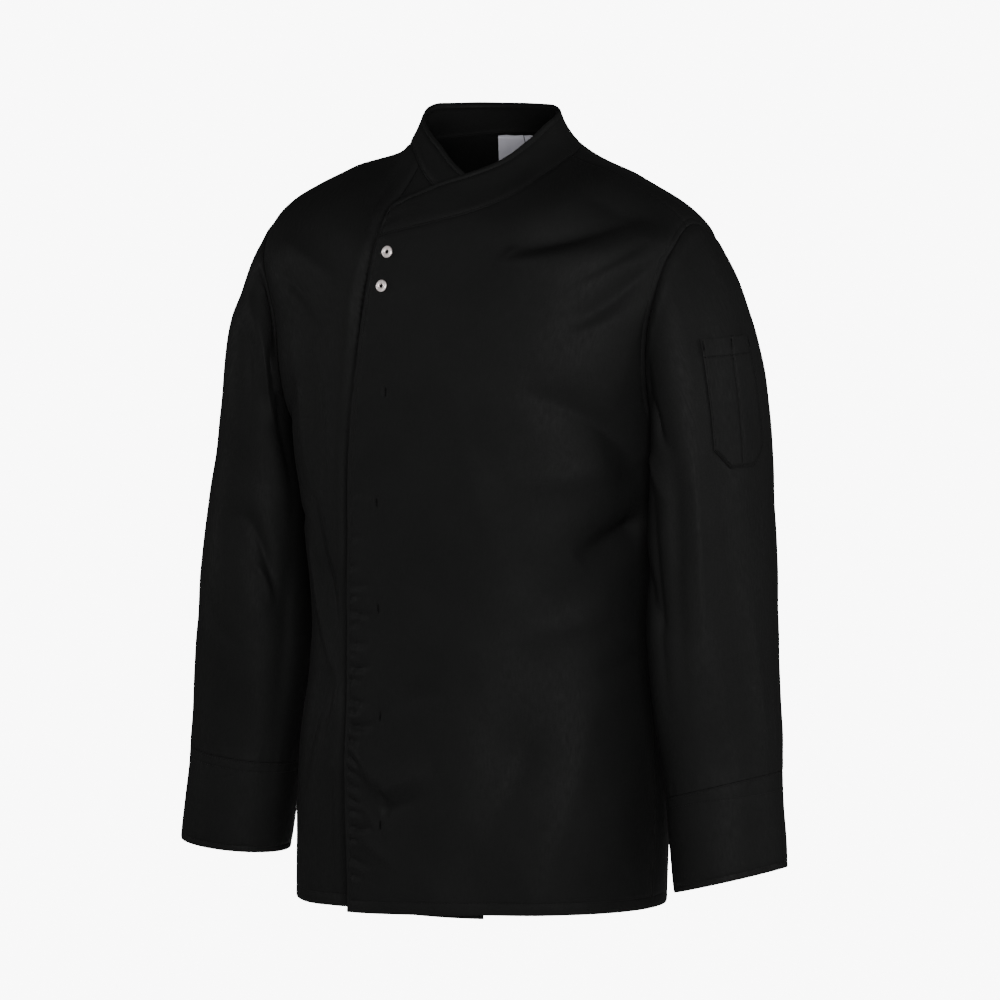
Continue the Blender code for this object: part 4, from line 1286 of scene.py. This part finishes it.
def twill(name, shift):
    """Black poly-cotton twill: diagonal ribs, yarn slubs, a faint unevenness of dye and a soft sheen."""
    material, tree, shader = nodes_of(name)
    place = add_node(tree, "ShaderNodeMapping", Location=(shift, shift * 0.37, 0))
    where = feed(tree, place, Vector=cloth_place(tree)).outputs["Vector"]
    ribs = add_node(tree, "ShaderNodeTexWave", wave_type="BANDS", bands_direction="DIAGONAL",
                    Scale=470.0, Distortion=1.4, Detail=1.0, Detail_Scale=1.5)
    feed(tree, ribs, Vector=where)
    stretched = feed(tree, add_node(tree, "ShaderNodeMapping", Scale=(1.0, 0.18, 1.0)), Vector=where)
    slub = noise(tree, stretched.outputs["Vector"], 540.0, 2.0)
    grain = noise(tree, where, 620.0, 3.0, 0.65)
    soft = noise(tree, where, 46.0, 3.0)
    dye = noise(tree, where, 9.0, 4.0, 0.6)
    blend = add_node(tree, "ShaderNodeMath", operation="MULTIPLY_ADD")
    blend.inputs[1].default_value = 0.55
    tree.links.new(ramp(tree, grain, 0.0, 1.0), blend.inputs[0])
    tree.links.new(ramp(tree, dye, 0.0, 0.45), blend.inputs[2])
    mottle(tree, shader, blend.outputs[0], (0.0050, 0.0051, 0.0050), (0.0080, 0.0081, 0.0080))
    give(shader, Sheen_Weight=0.002, Sheen_Roughness=0.45, Sheen_Tint=(0.88, 0.90, 0.88, 1),
         Specular_IOR_Level=0.065)
    normal = bump(tree, soft, 0.0008, 0.25)
    for height, distance, strength in (
        (ribs.outputs["Fac"], 0.00010, 0.35), (slub, 0.00012, 0.25), (grain, 0.00012, 0.35),
    ):
        normal = bump(tree, height, distance, strength, normal)
    feed(tree, shader, Roughness=ramp(tree, slub, 0.56, 0.74), Normal=normal)
    return material


def thread_material(name, dark, light):
    material, tree, shader = nodes_of(name)
    twist = noise(tree, object_place(tree), 1800.0, 2.0)
    mottle(tree, shader, twist, (dark,) * 3, (light,) * 3)
    give(shader, Roughness=0.50, Specular_IOR_Level=0.10)
    feed(tree, shader, Normal=bump(tree, twist, 0.0001, 0.5))
    return material


def snap_metal():
    material, tree, shader = nodes_of("snap_nickel")
    where = object_place(tree)
    haze = noise(tree, where, 420.0, 5.0, 0.7)
    scratch = noise(tree, where, 1500.0, 3.0)
    mottle(tree, shader, haze, (0.80, 0.70, 0.68), (0.92, 0.84, 0.82))
    give(shader, Metallic=0.60)
    feed(tree, shader, Roughness=ramp(tree, haze, 0.24, 0.42), Normal=bump(tree, scratch, 0.00003, 0.4))
    return material


def satin(name):
    """Bare woven ribbon with fine cross ribs."""
    material, tree, shader = nodes_of(name)
    where = cloth_place(tree)
    ribs = add_node(tree, "ShaderNodeTexWave", wave_type="BANDS", bands_direction="X",
                    Scale=700.0, Distortion=0.4)
    feed(tree, ribs, Vector=where)
    dye = noise(tree, where, 60.0, 4.0)
    mottle(tree, shader, dye, (0.52, 0.51, 0.58), (0.66, 0.65, 0.71))
    give(shader, Sheen_Weight=0.15)
    normal = bump(tree, ribs.outputs["Fac"], 0.00006, 0.4)
    feed(tree, shader, Roughness=ramp(tree, dye, 0.34, 0.52), Normal=normal)
    return material


def floor_material():
    """Pale, and brighter still to the camera alone."""
    material, tree, shader = nodes_of("floor")
    mottle(tree, shader, noise(tree, object_place(tree), 3.0, 3.0), (0.48,) * 3, (0.52,) * 3)
    give(shader, Roughness=0.9, Specular_IOR_Level=0.1, Emission_Color=(1.0, 1.0, 1.0, 1))
    glow = add_node(tree, "ShaderNodeMath", operation="MULTIPLY")
    glow.inputs[1].default_value = 9.0
    tree.links.new(tree.nodes.new("ShaderNodeLightPath").outputs["Is Camera Ray"], glow.inputs[0])
    feed(tree, shader, Emission_Strength=glow.outputs[0])
    return material


# ---------------------------------------------------------------- the jacket
def bar_centre(mark):
    """Where a bartack sits on the outer front: its centre, the direction out, and a point above it."""
    angle = np.array(math.radians(mark.angle))
    runs = np.linspace(0.0, 0.75, 900)
    run = np.interp(mark.z, bare_torso(angle, runs)[:, 2], runs)
    centre, normal = torso(angle, np.array(run))
    above, _ = torso(angle, np.array(run + 0.004))
    return centre, normal, above


BAR_CENTRES = [bar_centre(mark) for mark in BARTACKS]
# Their heights, from the lowest, and how far across each is
BAR_LINE = [[float(centre[axis]) for centre, _, _ in reversed(BAR_CENTRES)] for axis in (2, 0)]


def placket_puckers(spot):
    """Short level puckers between the outer front's edge and its hidden placket."""
    from_edge = spot.distance["left"]
    z = spot.points[..., 2]
    relief = np.zeros(z.shape)
    for tuck in TUCKS:
        along = (from_edge - tuck.start) / (tuck.end - tuck.start)
        shown = ease(along, 0.0, 0.15) * (1 - ease(along, 0.2, 1.0))
        level = tuck.z + tuck.sag * np.sin(math.pi * along) + tuck.slope * (from_edge - tuck.start)
        off = z - level
        ridge = hump(off + 1.7 * tuck.width, 1.3 * tuck.width)
        relief += 0.95 * tuck.depth * shown * (0.5 * ridge - hump(off, tuck.width))
    for mark in BARTACKS:
        up, across = z - mark.z, spot.points[..., 0] - np.interp(mark.z, *BAR_LINE)
        relief -= 0.0011 * hump(across, 0.0026) * hump(up, 0.0062)
        relief += 0.0007 * hump(across + 0.0065, 0.0040) * hump(up + 0.001, 0.0045)
    return relief


def collar_puckers(spot):
    """Short upright puckers along the band, where its two layers were sewn unevenly."""
    along = spot.s * COLLAR_LENGTH
    drift = 0.006 * np.sin(spot.t * 3.0 + along / 0.05)
    ripple = np.sin((along + drift) / 0.0034 + 2.4 * np.sin(along / 0.021))
    slow = np.sin((along - 2 * drift) / 0.0075 + 1.8 * np.sin(along / 0.043))
    patchy = 0.5 + 0.5 * np.sin(along / 0.027 + 0.7)
    low, high = hump(spot.t, 0.35), hump(1 - spot.t, 0.30)
    return 0.00022 * ripple * patchy * (low + high) + 0.00040 * slow * patchy * (0.5 + 0.5 * low)


def under_folds(spot):
    """The under front's own creases, and the hollow that runs along below the outer front's edge."""
    z = spot.points[..., 2]
    edge = np.radians(np.interp(-z, *EDGE_LINE))
    past = (spot.angle - edge) * TORSO_RADIUS
    depth = HOLLOW_DEPTH * (1 + 0.25 * np.sin(z / 0.031))
    hollow = depth * hump(past + HOLLOW_OFF, HOLLOW_WIDTH)
    return crease_relief(UNDER_CREASES, TORSO_RADIUS, spot.angle, z) - hollow


EDGE = Rim(0.0005, 0.0, (Stitching(EDGE_STITCH, 0.0, 1.0),))
LAPPED = Rim(0.0007, 0.0, (Stitching(SEAM_STITCH, SIDE_SHARE, 1.0),))
HEMMED = Rim(0.0004, HEM_STITCH, (Stitching(HEM_STITCH, 0.0, 1.0),))
SEAM = Rim(0.0007, 0.0, ())
COLLAR_END = Rim(0.0008, 0.0, (Stitching(EDGE_STITCH, 0.04, 0.9, 0.0008, 0.0003),))
COLLAR_SEWN = Rim(0.0010, 0.0, (Stitching(0.0022, 0.0, 1.0, 0.0007, 0.0004),))
COLLAR_EDGE = Rim(0.0008, 0.0, (Stitching(EDGE_STITCH, 0.0, 1.0, 0.0008, 0.0003),))

cloth_pieces = {
    "front_left": torso_panel(
        "front_left_cloth", front_patch(1), (EDGE, LAPPED, HEMMED, SEAM), 136, 276,
        twill("twill_front_left", 0.0), extra=placket_puckers,
    ),
}
for centre, normal, above in BAR_CENTRES:
    bar("front_left_cloth", centre - normal * BAR_SUNK, normal, above - centre, *FRONT_BAR)
cloth_pieces["front_right"] = torso_panel(
    "front_right_cloth", front_patch(-1), (EDGE, LAPPED, HEMMED, SEAM), 122, 246,
    twill("twill_front_right", 1.3), inset=lap_inset, extra=under_folds,
)
cloth_pieces["back"] = torso_panel(
    "back_cloth", back_patch(), (LAPPED, LAPPED, HEMMED, SEAM), 160, 224, twill("twill_back", 2.1),
)
cloth_pieces["collar"] = torso_panel(
    "collar_cloth", collar_patch(), (COLLAR_END, COLLAR_END, COLLAR_SEWN, COLLAR_EDGE), 260, 16,
    twill("twill_collar", 3.2), wall=BAND,
    inset=lambda angle: lap_inset(angle - 2 * math.pi) * (angle > math.pi), extra=collar_puckers,
)
for side, word in ((1, "left"), (-1, "right")):
    for node, make, shift in (("sleeve", sleeve, 4), ("cuff", cuff, 6)):
        cloth = twill(f"twill_{node}_{word}", shift + side * 0.7)
        cloth_pieces[f"{node}_{word}"] = make(side, f"{node}_{word}_cloth", cloth)
cloth_pieces["pen_pocket"] = pen_pocket("pen_pocket_cloth", twill("twill_pocket", 8.4))

metal = snap_metal()
inside_snap = twill("twill_snap_middle", 9.3)
for number, place in enumerate(SNAPS, start=1):
    piece = ring_snap(f"snap_{number}_ring", place, metal, inside_snap)
    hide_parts(f"snap_{number}")
ribbon = satin("satin_label")
for size in LABELS:
    cloth_pieces[size.name] = label(f"{size.name}_ribbon", size, ribbon)

thread = thread_material("thread", 0.0045, 0.0085)
# Nearly black thread for the pocket's stitches and the bartacks: painted shade, much darker than the cloth's
# own thread, so that these lines look shadowed
painted_shade_thread = thread_material("thread_fresh", 0.0008, 0.0018)
pale_thread = satin("label_thread")
threads = {}
for kind, sewn in (("stitches", THREADS), ("bartacks", BARS)):
    for name, stitches in sewn.items():
        owner = name.replace("_cloth", "").replace("_ribbon", "")
        # the pocket's stitches and every bartack take the thread with the painted shade
        shade_painted = kind == "bartacks" or owner == "pen_pocket"
        colour = pale_thread if "label" in owner else painted_shade_thread if shade_painted else thread
        made = thread_mesh(f"{owner}_{kind}", stitches, colour)
        threads.setdefault(owner, []).append(made)

# The fields of a cut: width and length in metres, and what carries each piece; no piece is given one here.
# The solids that the cloth above replaces are hidden
Cut = namedtuple("Cut", "width length hangs_from")
for node, (piece, area) in cloth_pieces.items():
    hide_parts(node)

# ---------------------------------------------------------------- floor, light and camera
FLOOR_Z = -1.45
FLOOR_REACH = 30
BACKDROP_TOP = 20
BACKDROP_SIDES = 48
WORLD_STRENGTH = 0.075


def stage_piece(name, points, faces, material):
    mesh = bpy.data.meshes.new(name)
    mesh.from_pydata(points, [], faces)
    mesh.materials.append(material)
    piece = bpy.data.objects.new(name, mesh)
    bpy.context.scene.collection.objects.link(piece)
    return piece


turns = [math.tau * k / BACKDROP_SIDES for k in range(BACKDROP_SIDES)]
rim = [(FLOOR_REACH * math.cos(turn), FLOOR_REACH * math.sin(turn)) for turn in turns]
pale = floor_material()
stage_piece("floor", [(x, y, FLOOR_Z) for x, y in rim], [tuple(range(BACKDROP_SIDES))], pale)
# A wall far behind, which only the camera sees, so that the floor has no edge in low views
wall = stage_piece(
    "backdrop",
    [(x, y, z) for z in (FLOOR_Z - 1, BACKDROP_TOP) for x, y in rim],
    [(k, n, n + BACKDROP_SIDES, k + BACKDROP_SIDES)
     for k in range(BACKDROP_SIDES) for n in [(k + 1) % BACKDROP_SIDES]],
    pale,
)
wall.visible_diffuse = False
wall.visible_glossy = False
wall.visible_shadow = False

world = bpy.data.worlds.new("studio")
bpy.context.scene.world = world
world.use_nodes = True
give(world.node_tree.nodes["Background"], Color=(1.0, 1.0, 1.0, 1), Strength=WORLD_STRENGTH)

Lamp = namedtuple("Lamp", "name place target size power")
LAMPS = (
    Lamp("right_box", (2.10, 0.70, 0.10), (0, 0, -0.30), 0.8, 22),
    Lamp("front_box", (1.12, -1.78, 0.10), (0, 0, -0.30), 0.9, 49),
    Lamp("fill_box", (-0.30, -2.10, 0.10), (0, 0, -0.30), 0.9, 5),
    Lamp("left_box", (-2.05, -0.75, 0.10), (0, 0, -0.35), 0.8, 13),
    Lamp("back_box", (-1.03, 1.94, -0.60), (0, 0, -0.35), 0.6, 85),
)
for lamp in LAMPS:
    light = bpy.data.lights.new(lamp.name, "AREA")
    light.shape = "SQUARE"
    light.size = lamp.size
    light.energy = lamp.power
    made = bpy.data.objects.new(lamp.name, light)
    made.location = lamp.place
    made.rotation_euler = (Vector(lamp.target) - Vector(lamp.place)).to_track_quat("-Z", "Y").to_euler()
    bpy.context.scene.collection.objects.link(made)

CAMERA_AZIMUTH = math.radians(28)
CAMERA_ELEVATION = math.radians(5.8)
CAMERA_DISTANCE = 8.0
CAMERA_CLIP = 400
FOCAL_PIXELS = 8163.0
IMAGE_PIXELS = 1000
ORIGIN_PIXEL = (490, 150)     # where the frame's origin shows
FIRST_AIM = Vector((0, 0, -0.36))
SENSOR = 36
away = Vector((math.sin(CAMERA_AZIMUTH) * math.cos(CAMERA_ELEVATION),
               -math.cos(CAMERA_AZIMUTH) * math.cos(CAMERA_ELEVATION), math.sin(CAMERA_ELEVATION)))
forward = -away
right = forward.cross(Vector((0, 0, 1))).normalized()
up = right.cross(forward)
aim = FIRST_AIM
for _ in range(20):
    offset = -(aim + away * CAMERA_DISTANCE)
    depth = offset.dot(forward)
    x = IMAGE_PIXELS / 2 + FOCAL_PIXELS * offset.dot(right) / depth
    y = IMAGE_PIXELS / 2 - FOCAL_PIXELS * offset.dot(up) / depth
    aim = aim + right * ((x - ORIGIN_PIXEL[0]) / FOCAL_PIXELS * CAMERA_DISTANCE)
    aim = aim - up * ((y - ORIGIN_PIXEL[1]) / FOCAL_PIXELS * CAMERA_DISTANCE)
camera_data = bpy.data.cameras.new("camera")
camera_data.sensor_width = SENSOR
camera_data.lens = FOCAL_PIXELS / IMAGE_PIXELS * SENSOR
camera_data.clip_end = CAMERA_CLIP
camera = bpy.data.objects.new("camera", camera_data)
camera.matrix_world = Matrix((
    (right.x, up.x, away.x, 0), (right.y, up.y, away.y, 0), (right.z, up.z, away.z, 0), (0, 0, 0, 1),
))
camera.location = aim + away * CAMERA_DISTANCE
bpy.context.scene.collection.objects.link(camera)
bpy.context.scene.camera = camera
